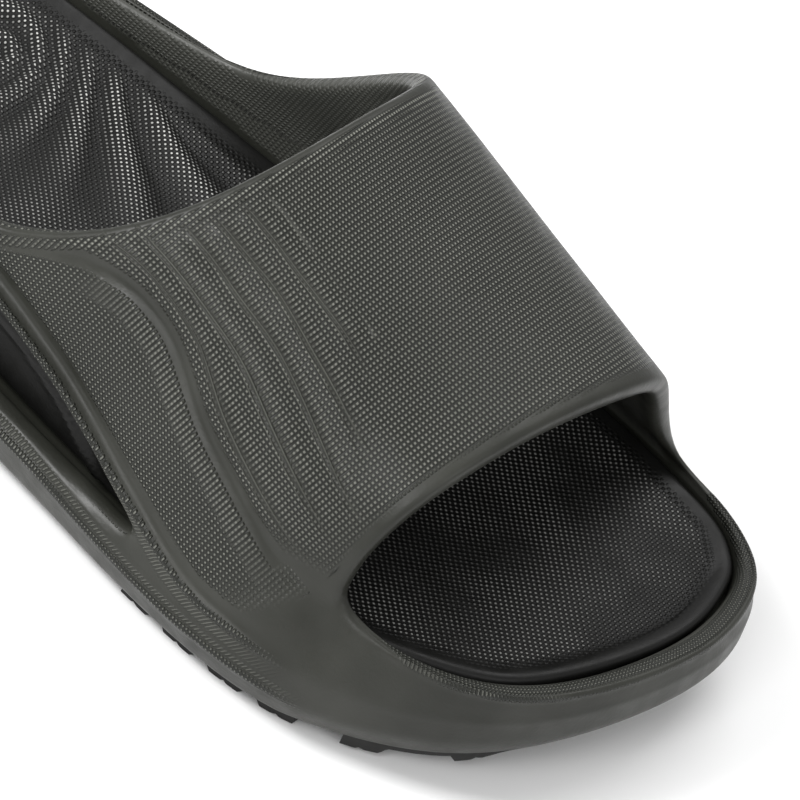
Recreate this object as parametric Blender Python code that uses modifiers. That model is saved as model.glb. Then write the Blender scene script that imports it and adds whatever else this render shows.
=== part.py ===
# Sport slide sandal, right shoe, in metres.
# +Y points to the toe, +X to the outer side of the foot, +Z up. It stands on its tread.
#
# The foam shell is one moulded piece: a cup with its side rim, and the instep band.
# The footbed is a thick insert that drops into the cup and shows through the side windows.
# The tread is three rubber plates with zigzag bars, at heel, forefoot and toe.

import bmesh
import bpy
import numpy as np

MM = 0.001

# Overall sizes
LENGTH = 295 * MM
BALL_WIDTH = 109 * MM
INSTEP_HEIGHT = 84 * MM

# Foam wall, band and cup
RIM_WALL = 6.6 * MM
BAND_WALL = 5.0 * MM
CUP_FLOOR = 7.0 * MM
BOTTOM_EDGE_INSET = 2.6 * MM
BOTTOM_FACE_INSET = 7.8 * MM
BAND_SADDLE = 1.4 * MM
RIDGE_STEP = 1.9 * MM
WINDOW_INSET = 2.8 * MM

# Sole line
TREAD_THICKNESS = 2.8 * MM
TOE_SPRING = 9.0 * MM
HEEL_SPRING = 3.0 * MM
ARCH_RISE = 1.6 * MM

# Footbed
BEAD_WIDTH = 4.0 * MM
HEEL_CUP_DEPTH = 4.5 * MM
BALL_DISH_DEPTH = 1.8 * MM
BED_SIDE_HOLLOW = 1.2 * MM

# Tread bars
BAR_PITCH = 11.0 * MM
BAR_SHARE = 0.62
BAR_DEPTH = 1.5 * MM
BAR_SLOPE = 1.1 * MM
ZIGZAG_DEPTH = 1.8 * MM
SHARP_ANGLE = 0.6
ZIGZAG_RUNS = 6
PAD_INSET = 6.0 * MM

# Clearances between pieces
BED_CLEARANCE = 0.8 * MM
PAD_CLEARANCE = 0.35 * MM

# Outline seen from above, from the heel centre to the toe centre.
# Across is a share of the ball width, along a share of the length from its middle.
OUTLINE_COLUMNS = ("lateral_across", "lateral_along", "medial_across", "medial_along")
OUTLINE = (
    (-0.012, -0.500, -0.012, -0.500),
    (0.107, -0.490, -0.122, -0.490),
    (0.216, -0.461, -0.228, -0.461),
    (0.294, -0.414, -0.306, -0.414),
    (0.345, -0.339, -0.361, -0.339),
    (0.366, -0.237, -0.388, -0.237),
    (0.376, -0.119, -0.396, -0.119),
    (0.402, 0.000, -0.416, 0.000),
    (0.441, 0.105, -0.448, 0.105),
    (0.480, 0.186, -0.484, 0.186),
    (0.500, 0.264, -0.500, 0.271),
    (0.483, 0.329, -0.488, 0.342),
    (0.423, 0.386, -0.460, 0.400),
    (0.300, 0.447, -0.432, 0.449),
    (0.098, 0.482, -0.352, 0.487),
    (-0.140, 0.500, -0.140, 0.500),
)

# Heights along the side, as shares of the instep height, by the share along the length.
SIDE_COLUMNS = ("along", "low", "slot_low", "slot_high", "medial_high", "ridge", "rim", "medial_rim")
SIDE = (
    (-0.500, 0.155, 0.230, 0.262, 0.262, 0.335, 0.470, 0.470),
    (-0.407, 0.140, 0.226, 0.280, 0.270, 0.365, 0.480, 0.464),
    (-0.264, 0.130, 0.240, 0.290, 0.280, 0.405, 0.500, 0.444),
    (-0.119, 0.130, 0.234, 0.370, 0.320, 0.455, 0.520, 0.436),
    (0.003, 0.130, 0.205, 0.360, 0.310, 0.455, 0.545, 0.500),
    (0.085, 0.124, 0.182, 0.270, 0.250, 0.365, 0.535, 0.500),
    (0.180, 0.110, 0.142, 0.166, 0.165, 0.225, 0.470, 0.450),
    (0.254, 0.104, 0.130, 0.155, 0.150, 0.185, 0.410, 0.400),
    (0.335, 0.104, 0.135, 0.160, 0.155, 0.190, 0.350, 0.365),
    (0.424, 0.146, 0.174, 0.197, 0.195, 0.221, 0.302, 0.330),
    (0.500, 0.180, 0.205, 0.225, 0.225, 0.246, 0.290, 0.290),
)

# How far the wall's ridge, rim, inner lip and inner face lie in from the outline,
# as shares of the rim wall, by the share along the length.
LEAN_COLUMNS = (
    "along", "ridge", "rim", "lip", "wall", "medial_ridge", "medial_rim", "medial_lip", "medial_wall",
)
LEAN = (
    (-0.500, 0.00, 0.38, 0.95, 1.00, 0.00, 0.38, 0.95, 1.00),
    (-0.264, -0.08, 0.34, 0.92, 1.00, -0.05, 0.26, 0.80, 0.85),
    (0.003, -0.15, 0.38, 0.98, 1.00, -0.05, 0.30, 0.90, 0.75),
    (0.105, -0.02, 0.52, 1.10, 1.00, 0.05, 0.40, 1.00, 0.70),
    (0.180, 0.12, 0.70, 1.28, 1.00, 0.12, 0.52, 1.10, 0.66),
    (0.254, 0.10, 0.92, 1.48, 1.00, 0.10, 0.62, 1.18, 0.56),
    (0.335, 0.08, 1.04, 1.55, 1.00, 0.08, 0.68, 1.18, 0.44),
    (0.380, 0.05, 0.50, 0.80, 1.00, 0.05, 0.66, 1.10, 0.38),
    (0.424, 0.05, 0.30, 0.60, 1.00, 0.05, 0.12, 0.38, 0.38),
    (0.500, 0.05, 0.28, 0.58, 1.00, 0.05, 0.28, 0.58, 1.00),
)

# Edges of the instep band between its two ends on the side walls, from lateral to medial.
# Across is a share of the ball width, along of the length and up of the instep height.
BAND_COLUMNS = ("rear_across", "rear_along", "rear_up", "front_across", "front_along", "front_up")
BAND = (
    (0.370, 0.0525, 0.650, 0.408, 0.330, 0.477),
    (0.332, 0.0915, 0.762, 0.366, 0.337, 0.600),
    (0.245, 0.1203, 0.870, 0.284, 0.346, 0.692),
    (0.107, 0.1410, 0.970, 0.117, 0.359, 0.756),
    (-0.077, 0.1508, 1.020, -0.058, 0.370, 0.760),
    (-0.250, 0.1500, 0.992, -0.232, 0.377, 0.722),
    (-0.382, 0.1120, 0.825, -0.322, 0.372, 0.606),
    (-0.408, 0.0576, 0.625, -0.392, 0.373, 0.446),
)

# Where each tread pad starts and ends, as shares of the length from its middle.
HEEL_PAD = (-0.482, -0.20)
FOREFOOT_PAD = (0.195, 0.335)
TOE_PAD = (0.365, 0.482)

# Top edge of the footbed, as a share of the instep height, by the share along the length.
BED_COLUMNS = ("along", "edge")
BED = (
    (-0.500, 0.440),
    (-0.300, 0.436),
    (-0.119, 0.424),
    (0.000, 0.392),
    (0.058, 0.366),
    (0.186, 0.325),
    (0.322, 0.306),
    (0.407, 0.298),
    (0.500, 0.286),
)

# The wall's outer face above its ridge: shares of the rise to the rim and of the lean there.
WALL_COLUMNS = ("rise", "lean")
WALL = ((0.2, 0), (0.5, 0.35), (0.82, 0.78), (1, 1))

# The window's surround: how deep its lower and upper edges lie, as shares of its inset,
# and how high the bevel over it ends, as a share of the way up to the ridge.
WINDOW_LOW_EDGE = 0.55
WINDOW_HIGH_EDGE = 0.85
WINDOW_BEVEL = 0.45
SHOULDER_LEAN = 0.12
BOTTOM_EDGE_RISE = 0.06

# The wall's inner face: its foot on the cup floor, and where the lip starts.
FLOOR_FILLET = 0.4
FLOOR_FILLET_RISE = 0.1
WINDOW_FLOOR_RISE = 0.25
UPPER_WALL_SHARE = 0.6
LIP_START = 0.25
LEAST_RUN = 0.6 * MM

# The footbed's side from its bottom to the inside of its bead: share of the rim wall inwards,
# share of the side hollow, share of the bead's width, and share of the height.
BED_SIDE_COLUMNS = ("rim_walls", "hollow", "bead", "height")
BED_SIDE = (
    (0.5, 0, 0, 0),
    (0.1, 0, 0, 0.12),
    (0, 1, 0, 0.45),
    (0, 0, 0, 0.86),
    (0, 0, 0.4, 1),
)
BEAD_DROP = 0.9 * MM
DISH_ROUNDNESS = 0.6

# Edges that stay crisp on the wall, as its row and how crisp it is.
CRISP_ROWS = ((1, 0.6), (2, 0.4), (6, 0.7))
OUTER_WINDOW_ROW = 3
INNER_WINDOW_ROW = 2

# Where the sole line leaves the ground, as shares of the length from its middle.
TOE_SPRING_START = 0.28
HEEL_SPRING_START = -0.42
ARCH_START = -0.19
ARCH_END = 0.09

# Depth of the relief round the windows, from 0 to 1, by the share along the length.
RELIEF_COLUMNS = ("along", "depth")
RELIEF = ((-0.5, 0.1), (-0.3, 0.4), (-0.2, 1), (0.1, 1), (0.2, 0.55), (0.34, 0.15), (0.5, 0.1))

# Depth of the footbed's heel cup and ball dish, from 0 to 1, by the share along the length.
DISH_COLUMNS = ("along", "heel", "ball")
DISH = (
    (-0.50, 0.30, 0.00),
    (-0.36, 1.00, 0.00),
    (-0.20, 0.75, 0.00),
    (0.02, 0.18, 0.25),
    (0.27, 0.00, 1.00),
    (0.42, 0.00, 0.60),
    (0.50, 0.00, 0.20),
)

# Column places along the outline, counted in its rows, and the band's two corners.
HEEL_COLUMNS = (0, 1, 2, 3, 4, 4.75, 5.6, 6.4)
BAND_REAR = 7.05
BAND_FRONT_LATERAL = 11.1
BAND_FRONT_MEDIAL = 11.65
BAND_SHARES = (0, 0.04, 0.16, 0.31, 0.46, 0.64, 0.82, 0.96, 1)
TOE_SHARES = (0.2, 0.4, 0.6, 0.8, 1)
BULGE_ROWS = 4
WINDOW_FIRST = 5
WINDOW_LAST = 12
FLOOR_SHARES = (0.33, 0.67)
BED_TOP_SHARES = (0.17, 0.39, 0.61, 0.83)

SHELL_COLOUR = (0.062, 0.064, 0.058, 1)
BED_COLOUR = (0.014, 0.014, 0.013, 1)
TREAD_COLOUR = (0.011, 0.011, 0.011, 1)


def through(stations, values):
    """A smooth function through a table column that never overshoots its values."""
    x = np.array(stations, float)
    y = np.array(values, float)
    steps = np.diff(x)
    slopes = np.diff(y) / steps
    tangents = np.zeros(len(x))
    for i in range(1, len(x) - 1):
        if slopes[i - 1] * slopes[i] > 0:
            before = 2 * steps[i] + steps[i - 1]
            after = steps[i] + 2 * steps[i - 1]
            tangents[i] = (before + after) / (before / slopes[i - 1] + after / slopes[i])

    def value(at):
        at = min(max(at, x[0]), x[-1])
        i = min(int(np.searchsorted(x, at, side="right")) - 1, len(steps) - 1)
        f = (at - x[i]) / steps[i]
        rise = y[i] * (1 + 2 * f) * (1 - f) ** 2 + y[i + 1] * f * f * (3 - 2 * f)
        return rise + steps[i] * (tangents[i] * f * (1 - f) ** 2 - tangents[i + 1] * f * f * (1 - f))

    return value


def column(table, names, name):
    place = names.index(name)
    return [row[place] for row in table]


def along_table(table, names, name):
    return through(column(table, names, "along"), column(table, names, name))


def points_of(table, names, wanted, size):
    """The points that the wanted columns of a table give, as shares of a size."""
    shares = np.array([column(table, names, name) for name in wanted], float).T
    return list(shares * np.array(size))


def on_curve(points, at, closed=False):
    """A point of the smooth curve through all the points, counted in points."""
    count = len(points)
    i = int(np.floor(at))
    if not closed:
        i = min(max(i, 0), count - 2)
    f = at - i
    if closed:
        a, b, c, d = (points[(i + n) % count] for n in (-1, 0, 1, 2))
    else:
        b, c = points[i], points[i + 1]
        a = points[i - 1] if i > 0 else 2 * b - c
        d = points[i + 2] if i + 2 < count else 2 * c - b
    bend = (2 * a - 5 * b + 4 * c - d) * f * f + (-a + 3 * b - 3 * c + d) * f**3
    return b + 0.5 * ((c - a) * f + bend)


LATERAL, MEDIAL = 0, 1
outline_size = (BALL_WIDTH, LENGTH)
lateral_points = points_of(OUTLINE, OUTLINE_COLUMNS, ("lateral_across", "lateral_along"), outline_size)
medial_points = points_of(OUTLINE, OUTLINE_COLUMNS, ("medial_across", "medial_along"), outline_size)
ring_points = lateral_points + medial_points[-2:0:-1]
band_size = (BALL_WIDTH, LENGTH, INSTEP_HEIGHT)
band_rear = points_of(BAND, BAND_COLUMNS, ("rear_across", "rear_along", "rear_up"), band_size)
band_front = points_of(BAND, BAND_COLUMNS, ("front_across", "front_along", "front_up"), band_size)


def outline(side, place):
    """The outline point at a place, with its outward direction, both seen from above."""
    at = place if side == LATERAL else len(ring_points) - place
    point = on_curve(ring_points, at, closed=True)
    ahead = on_curve(ring_points, at + 0.01, closed=True) - on_curve(ring_points, at - 0.01, closed=True)
    outward = np.array((ahead[1], -ahead[0])) / np.linalg.norm(ahead)
    return point, outward


side_heights = {name: along_table(SIDE, SIDE_COLUMNS, name) for name in SIDE_COLUMNS[1:]}
side_leans = {name: along_table(LEAN, LEAN_COLUMNS, name) for name in LEAN_COLUMNS[1:]}
bed_edge_share = along_table(BED, BED_COLUMNS, "edge")
relief_depth = along_table(RELIEF, RELIEF_COLUMNS, "depth")
heel_dish = along_table(DISH, DISH_COLUMNS, "heel")
ball_dish = along_table(DISH, DISH_COLUMNS, "ball")


def sole_lift(y):
    """How far the sole line rises above the ground plane at the toe, arch and heel."""
    along = y / LENGTH
    toe = max(0, (along - TOE_SPRING_START) / (0.5 - TOE_SPRING_START))
    heel = max(0, (HEEL_SPRING_START - along) / (0.5 + HEEL_SPRING_START))
    arch = (along - ARCH_START) / (ARCH_END - ARCH_START)
    arch = np.sin(np.pi * arch) ** 2 if 0 < arch < 1 else 0
    return TOE_SPRING * toe**2 + HEEL_SPRING * heel**2 + ARCH_RISE * arch


def shell_bottom(y):
    return TREAD_THICKNESS + PAD_CLEARANCE + sole_lift(y)


def bed_edge(y):
    return bed_edge_share(y / LENGTH) * INSTEP_HEIGHT


def height(name, side, y):
    if side == MEDIAL and name == "slot_high":
        name = "medial_high"
    if side == MEDIAL and name == "rim":
        name = "medial_rim"
    return side_heights[name](y / LENGTH) * INSTEP_HEIGHT


def lean(name, side, y):
    name = "medial_" + name if side == MEDIAL else name
    return side_leans[name](y / LENGTH) * RIM_WALL


def placed(side, place, inset, z):
    point, outward = outline(side, place)
    x, y = point - outward * inset
    return np.array((x, y, z))


def outer_rows(side, place):
    """The wall's outer face from the bottom to the rim, as inset and height."""
    y = outline(side, place)[0][1]
    bottom = shell_bottom(y)
    low = height("low", side, y)
    slot_low = height("slot_low", side, y)
    slot_high = height("slot_high", side, y)
    ridge = height("ridge", side, y)
    rim = height("rim", side, y)
    depth = relief_depth(y / LENGTH)
    ridge_lean = lean("ridge", side, y)
    rim_lean = lean("rim", side, y)
    window = WINDOW_INSET * depth
    shoulder = ridge_lean + RIDGE_STEP * depth + SHOULDER_LEAN * (rim_lean - ridge_lean)
    rows = [
        (BOTTOM_FACE_INSET, bottom),
        (BOTTOM_EDGE_INSET, bottom + BOTTOM_EDGE_RISE * low),
        (0, low),
        (WINDOW_LOW_EDGE * window, slot_low),
        (WINDOW_HIGH_EDGE * window, slot_high),
        (window, slot_high + WINDOW_BEVEL * (ridge - slot_high)),
        (ridge_lean, ridge),
    ]
    for rise, share in WALL:
        rows.append((shoulder + share * (rim_lean - shoulder), ridge + rise * (rim - ridge)))
    return rows


def inner_rows(side, place):
    """The wall's inner face from the cup floor to the lip, as inset and height."""
    y = outline(side, place)[0][1]
    floor = shell_bottom(y) + CUP_FLOOR
    rim = height("rim", side, y)
    wall = lean("wall", side, y)
    lip = lean("lip", side, y)
    slot_low = max(height("slot_low", side, y), floor + WINDOW_FLOOR_RISE * CUP_FLOOR)
    slot_high = max(height("slot_high", side, y), slot_low + LEAST_RUN)
    edge = min(max(bed_edge(y), slot_high + LEAST_RUN), rim - LEAST_RUN)
    return (
        (wall + FLOOR_FILLET * RIM_WALL, floor),
        (wall, floor + FLOOR_FILLET_RISE * CUP_FLOOR),
        (wall, slot_low),
        (wall, slot_high),
        (wall, slot_high + UPPER_WALL_SHARE * (edge - slot_high)),
        (wall + LIP_START * (lip - wall), edge + LIP_START * (rim - edge)),
        (lip, rim),
    )


def columns_of(side, band_shares=BAND_SHARES):
    front = BAND_FRONT_LATERAL if side == LATERAL else BAND_FRONT_MEDIAL
    toe = len(OUTLINE) - 1
    places = list(HEEL_COLUMNS)
    places += [BAND_REAR + share * (front - BAND_REAR) for share in band_shares]
    places += [front + share * (toe - front) for share in TOE_SHARES]
    return places


def band_end(side, share):
    """Where the band leaves the side wall, at a share from its rear to its front edge."""
    front = BAND_FRONT_LATERAL if side == LATERAL else BAND_FRONT_MEDIAL
    place = BAND_REAR + share * (front - BAND_REAR)
    return placed(side, place, *outer_rows(side, place)[-1])


def band_point(share, across):
    """A point of the band's outer face: share from rear to front edge, across in table rows."""
    last = len(BAND) + 1
    rear_edge = [band_end(LATERAL, 0), *band_rear, band_end(MEDIAL, 0)]
    front_edge = [band_end(LATERAL, 1), *band_front, band_end(MEDIAL, 1)]
    rear, front = on_curve(rear_edge, across), on_curve(front_edge, across)
    point = rear + share * (front - rear)
    for side, end, rows_away in ((LATERAL, 0, across), (MEDIAL, -1, last - across)):
        straight = rear_edge[end] + share * (front_edge[end] - rear_edge[end])
        point = point + (band_end(side, share) - straight) * max(0, 1 - rows_away / BULGE_ROWS) ** 2
    saddle = BAND_SADDLE * np.sin(np.pi * share) * np.sin(np.pi * across / last)
    return point - np.array((0, 0, saddle))


def band_normal(share, across):
    """The band's outward direction at a point, from short steps along and across it."""
    step = 0.02
    last = len(BAND) + 1
    low, high = max(share - step, 0), min(share + step, 1)
    left, right = max(across - step, 0), min(across + step, last)
    forward = band_point(high, across) - band_point(low, across)
    sideways = band_point(share, right) - band_point(share, left)
    normal = np.cross(forward, sideways)
    normal /= np.linalg.norm(normal)
    return -normal if normal[2] < 0 and 1 < across < last - 1 else normal


class Cage:
    """Named corners and the faces between them."""

    def __init__(self):
        self.mesh = bmesh.new()
        self.corners = {}

    def add(self, key, position):
        self.corners[key] = self.mesh.verts.new(position)

    def face(self, *keys):
        corners = []
        for key in keys:
            if self.corners[key] not in corners:
                corners.append(self.corners[key])
        if len(corners) > 2:
            self.mesh.faces.new(corners)

    def crease(self, keys, amount):
        layers = self.mesh.edges.layers.float
        layer = layers.get("crease_edge") or layers.new("crease_edge")
        for first, second in zip(keys, keys[1:]):
            edge = self.mesh.edges.get((self.corners[first], self.corners[second]))
            if edge:
                edge[layer] = amount

    def to_mesh(self, name):
        bmesh.ops.recalc_face_normals(self.mesh, faces=self.mesh.faces[:])
        mesh = bpy.data.meshes.new(name)
        self.mesh.to_mesh(mesh)
        self.mesh.free()
        mesh.shade_smooth()
        return mesh


def flat_surface(point, share):
    return point


def fill_across(cage, key, count, shares, middle):
    """Closes the ring of corners key(side, column) with rows of faces from side to side."""
    across = len(shares) + 1

    def inner_key(j, n):
        if n == 0 or j in (0, count):
            return key(LATERAL, j)
        return key(MEDIAL, j) if n == across else (key(LATERAL, j), n)

    for j in range(1, count):
        start, end = (np.array(cage.corners[key(side, j)].co) for side in (LATERAL, MEDIAL))
        for n, share in enumerate(shares, 1):
            cage.add(inner_key(j, n), middle(start + share * (end - start), share))
    for j in range(count):
        for n in range(across):
            cage.face(inner_key(j, n), inner_key(j, n + 1), inner_key(j + 1, n + 1), inner_key(j + 1, n))


def shell_mesh():
    cage = Cage()
    columns = {side: columns_of(side) for side in (LATERAL, MEDIAL)}
    last = len(columns[LATERAL]) - 1
    rear = len(HEEL_COLUMNS)
    front = rear + len(BAND_SHARES) - 1
    rows = {"outer": len(outer_rows(LATERAL, 0)), "inner": len(inner_rows(LATERAL, 0))}

    def key(face, side, j, row):
        return (face, LATERAL if j in (0, last) else side, j, row)

    for side in (LATERAL, MEDIAL):
        for j, place in enumerate(columns[side]):
            if side == MEDIAL and j in (0, last):
                continue
            for face, profile in (("outer", outer_rows), ("inner", inner_rows)):
                for row, (inset, z) in enumerate(profile(side, place)):
                    cage.add(key(face, side, j, row), placed(side, place, inset, z))

    def top(face, side, j):
        return key(face, side, j, rows[face] - 1)

    # Side walls, open at the windows
    slots = {"outer": OUTER_WINDOW_ROW, "inner": INNER_WINDOW_ROW}
    for side in (LATERAL, MEDIAL):
        for face in ("outer", "inner"):
            for j in range(last):
                for row in range(rows[face] - 1):
                    if row == slots[face] and WINDOW_FIRST <= j < WINDOW_LAST:
                        continue
                    corners = ((j, row), (j + 1, row), (j + 1, row + 1), (j, row + 1))
                    cage.face(*(key(face, side, *corner) for corner in corners))
        for j in range(WINDOW_FIRST, WINDOW_LAST):
            for step in (0, 1):
                outer, inner = slots["outer"] + step, slots["inner"] + step
                cage.face(key("outer", side, j, outer), key("outer", side, j + 1, outer),
                          key("inner", side, j + 1, inner), key("inner", side, j, inner))
        for j in (WINDOW_FIRST, WINDOW_LAST):
            cage.face(*(key("outer", side, j, slots["outer"] + step) for step in (0, 1)),
                      *(key("inner", side, j, slots["inner"] + step) for step in (1, 0)))
        # Rim round the heel and the toe
        for j in [*range(rear), *range(front, last)]:
            cage.face(top("outer", side, j), top("outer", side, j + 1),
                      top("inner", side, j + 1), top("inner", side, j))

    # Band over the instep
    across = len(BAND) + 1

    def band_key(face, i, m):
        if m in (0, across):
            return top(face, LATERAL if m == 0 else MEDIAL, rear + i)
        return ("band " + face, i, m)

    for i, share in enumerate(BAND_SHARES):
        for m in range(1, across):
            point = band_point(share, m)
            cage.add(band_key("outer", i, m), point)
            cage.add(band_key("inner", i, m), point - band_normal(share, m) * BAND_WALL)
    for i in range(len(BAND_SHARES) - 1):
        for m in range(across):
            for face in ("outer", "inner"):
                cage.face(band_key(face, i, m), band_key(face, i + 1, m),
                          band_key(face, i + 1, m + 1), band_key(face, i, m + 1))
    for i in (0, len(BAND_SHARES) - 1):
        for m in range(across):
            cage.face(band_key("outer", i, m), band_key("outer", i, m + 1),
                      band_key("inner", i, m + 1), band_key("inner", i, m))

    # Cup floor and bottom
    for face in ("outer", "inner"):
        fill_across(cage, lambda side, j: key(face, side, j, 0), last, FLOOR_SHARES, flat_surface)

    for side in (LATERAL, MEDIAL):
        for row, amount in CRISP_ROWS:
            cage.crease([key("outer", side, j, row) for j in range(last + 1)], amount)
    return cage.to_mesh("shell")


def bed_rows(side, place):
    """The footbed's side from its bottom to the inner side of its bead."""
    y = outline(side, place)[0][1]
    bottom = shell_bottom(y) + CUP_FLOOR + BED_CLEARANCE
    edge = bed_edge(y)
    inset = lean("wall", side, y) + BED_CLEARANCE
    hollow = BED_SIDE_HOLLOW * relief_depth(y / LENGTH)
    rows = []
    for rim_walls, hollows, bead, rise in BED_SIDE:
        deep = rim_walls * RIM_WALL + hollows * hollow + bead * BEAD_WIDTH
        rows.append((inset + deep, bottom + rise * (edge - bottom)))
    return [*rows, (inset + BEAD_WIDTH, edge - BEAD_DROP)]


def bed_surface(point, share):
    """Drops the footbed's top into its heel cup and ball dish."""
    x, y, z = point
    deep = heel_dish(y / LENGTH) * HEEL_CUP_DEPTH + ball_dish(y / LENGTH) * BALL_DISH_DEPTH
    return np.array((x, y, z - deep * (4 * share * (1 - share)) ** DISH_ROUNDNESS))


def footbed_mesh():
    cage = Cage()
    columns = {side: columns_of(side, BAND_SHARES[::2]) for side in (LATERAL, MEDIAL)}
    last = len(columns[LATERAL]) - 1
    rows = len(bed_rows(LATERAL, 0))

    def key(side, j, row):
        return (LATERAL if j in (0, last) else side, j, row)

    for side in (LATERAL, MEDIAL):
        for j, place in enumerate(columns[side]):
            if side == MEDIAL and j in (0, last):
                continue
            for row, (inset, z) in enumerate(bed_rows(side, place)):
                cage.add(key(side, j, row), placed(side, place, inset, z))
    for side in (LATERAL, MEDIAL):
        for j in range(last):
            for row in range(rows - 1):
                corners = ((j, row), (j + 1, row), (j + 1, row + 1), (j, row + 1))
                cage.face(*(key(side, *corner) for corner in corners))
    fill_across(cage, lambda side, j: key(side, j, 0), last, FLOOR_SHARES, flat_surface)
    fill_across(cage, lambda side, j: key(side, j, rows - 1), last, BED_TOP_SHARES, bed_surface)
    return cage.to_mesh("footbed")


def half_widths(y):
    """The outline's lateral and medial reach at a place along the shoe."""
    places = np.linspace(0, len(OUTLINE) - 1, 200)
    reach = []
    for side in (LATERAL, MEDIAL):
        points = np.array([outline(side, place)[0] for place in places])
        reach.append(float(np.interp(y, points[:, 1], points[:, 0])))
    return reach


def tread_pad_mesh(name, start, end):
    """A plate under the shell between two shares of the length, its underside cut into zigzag bars."""
    cage = Cage()
    start, end = start * LENGTH, end * LENGTH
    bars = max(1, round((end - start) / BAR_PITCH))
    pitch = (end - start - BAR_SHARE * BAR_PITCH) / max(1, bars - 1)
    bar = BAR_SHARE * BAR_PITCH
    stations = []
    for n in range(bars):
        first = start + n * pitch
        stations += [(first, 0), (first + bar, 0)]
        if n < bars - 1:
            stations += [(first + bar + BAR_SLOPE, BAR_DEPTH), (first + pitch - BAR_SLOPE, BAR_DEPTH)]
    across = ZIGZAG_RUNS
    for i, (y, depth) in enumerate(stations):
        lateral, medial = half_widths(y)
        lateral, medial = lateral - PAD_INSET, medial + PAD_INSET
        for n in range(across + 1):
            x = medial + (lateral - medial) * n / across
            wave = ZIGZAG_DEPTH * (n % 2)
            under = sole_lift(y + wave)
            cage.add(("top", i, n), (x, y + wave, under + TREAD_THICKNESS))
            cage.add(("under", i, n), (x, y + wave, under + depth))
    for i in range(len(stations) - 1):
        for n in range(across):
            for face in ("top", "under"):
                cage.face((face, i, n), (face, i, n + 1), (face, i + 1, n + 1), (face, i + 1, n))
        for n in (0, across):
            cage.face(("top", i, n), ("top", i + 1, n), ("under", i + 1, n), ("under", i, n))
    for i in (0, len(stations) - 1):
        for n in range(across):
            cage.face(("top", i, n), ("top", i, n + 1), ("under", i, n + 1), ("under", i, n))
    mesh = cage.to_mesh(name)
    mesh.set_sharp_from_angle(angle=SHARP_ANGLE)
    return mesh


def material(name, colour, roughness):
    made = bpy.data.materials.new(name)
    made.use_nodes = True
    shader = made.node_tree.nodes["Principled BSDF"]
    shader.inputs["Base Color"].default_value = colour
    shader.inputs["Roughness"].default_value = roughness
    shader.inputs["Metallic"].default_value = 0
    return made


def add_object(collection, name, mesh, surface, levels=0):
    made = bpy.data.objects.new(name, mesh)
    mesh.materials.append(surface)
    collection.objects.link(made)
    if levels:
        smooth = made.modifiers.new("Soft form", "SUBSURF")
        smooth.levels = levels
        smooth.render_levels = levels
    return made


def centre_on_origin(objects):
    """Moves the pieces together, so that the box round them stands centred on the origin."""
    bpy.context.view_layer.update()
    graph = bpy.context.evaluated_depsgraph_get()
    points = []
    for piece in objects:
        mesh = piece.evaluated_get(graph).to_mesh()
        points += [piece.matrix_world @ corner.co for corner in mesh.vertices]
    points = np.array([tuple(point) for point in points])
    low, high = points.min(axis=0), points.max(axis=0)
    for piece in objects:
        piece.location = (-(low[0] + high[0]) / 2, -(low[1] + high[1]) / 2, -low[2])


def build():
    for leftover in list(bpy.data.objects):
        bpy.data.objects.remove(leftover)
    collection = bpy.data.collections.new("slide_sandal")
    bpy.context.scene.collection.children.link(collection)
    foam = material("shell foam", SHELL_COLOUR, 0.6)
    bed_foam = material("footbed foam", BED_COLOUR, 0.5)
    rubber = material("tread rubber", TREAD_COLOUR, 0.55)
    pieces = [
        add_object(collection, "shell", shell_mesh(), foam, levels=1),
        add_object(collection, "footbed", footbed_mesh(), bed_foam, levels=1),
    ]
    for name, start, end in (
        ("heel_pad", *HEEL_PAD),
        ("forefoot_pad", *FOREFOOT_PAD),
        ("toe_pad", *TOE_PAD),
    ):
        pieces.append(add_object(collection, name, tread_pad_mesh(name, start, end), rubber))
    centre_on_origin(pieces)


build()
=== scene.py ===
import math

import bmesh
import bpy
import numpy as np
from mathutils import Matrix, Vector
from mathutils.bvhtree import BVHTree


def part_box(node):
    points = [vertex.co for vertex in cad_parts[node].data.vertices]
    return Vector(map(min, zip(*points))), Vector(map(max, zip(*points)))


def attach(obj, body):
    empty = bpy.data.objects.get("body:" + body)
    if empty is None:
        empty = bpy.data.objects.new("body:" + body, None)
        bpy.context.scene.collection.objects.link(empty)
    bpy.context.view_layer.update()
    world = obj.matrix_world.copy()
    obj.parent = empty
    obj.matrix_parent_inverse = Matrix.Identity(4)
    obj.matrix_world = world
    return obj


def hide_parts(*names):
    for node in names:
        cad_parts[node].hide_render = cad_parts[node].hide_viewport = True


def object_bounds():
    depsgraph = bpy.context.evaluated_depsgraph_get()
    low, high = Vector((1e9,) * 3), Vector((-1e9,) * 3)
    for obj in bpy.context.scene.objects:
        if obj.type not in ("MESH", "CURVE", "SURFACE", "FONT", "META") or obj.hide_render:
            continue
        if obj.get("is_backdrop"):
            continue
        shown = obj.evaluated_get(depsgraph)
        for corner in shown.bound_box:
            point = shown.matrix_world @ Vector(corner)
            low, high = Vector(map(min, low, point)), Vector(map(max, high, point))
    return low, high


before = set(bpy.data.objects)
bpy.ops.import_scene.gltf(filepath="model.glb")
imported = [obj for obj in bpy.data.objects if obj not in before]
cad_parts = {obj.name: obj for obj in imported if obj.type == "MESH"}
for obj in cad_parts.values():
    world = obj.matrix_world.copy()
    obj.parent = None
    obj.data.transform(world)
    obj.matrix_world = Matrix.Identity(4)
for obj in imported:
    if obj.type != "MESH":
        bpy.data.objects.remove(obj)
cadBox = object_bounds()
print("frame loaded:", ", ".join(sorted(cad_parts)))

# Shapes below are worked out in millimetres: +Y to the toe, +X to the outer side, +Z up.
mm = 0.001
lateral, medial = 0, 1

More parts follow.
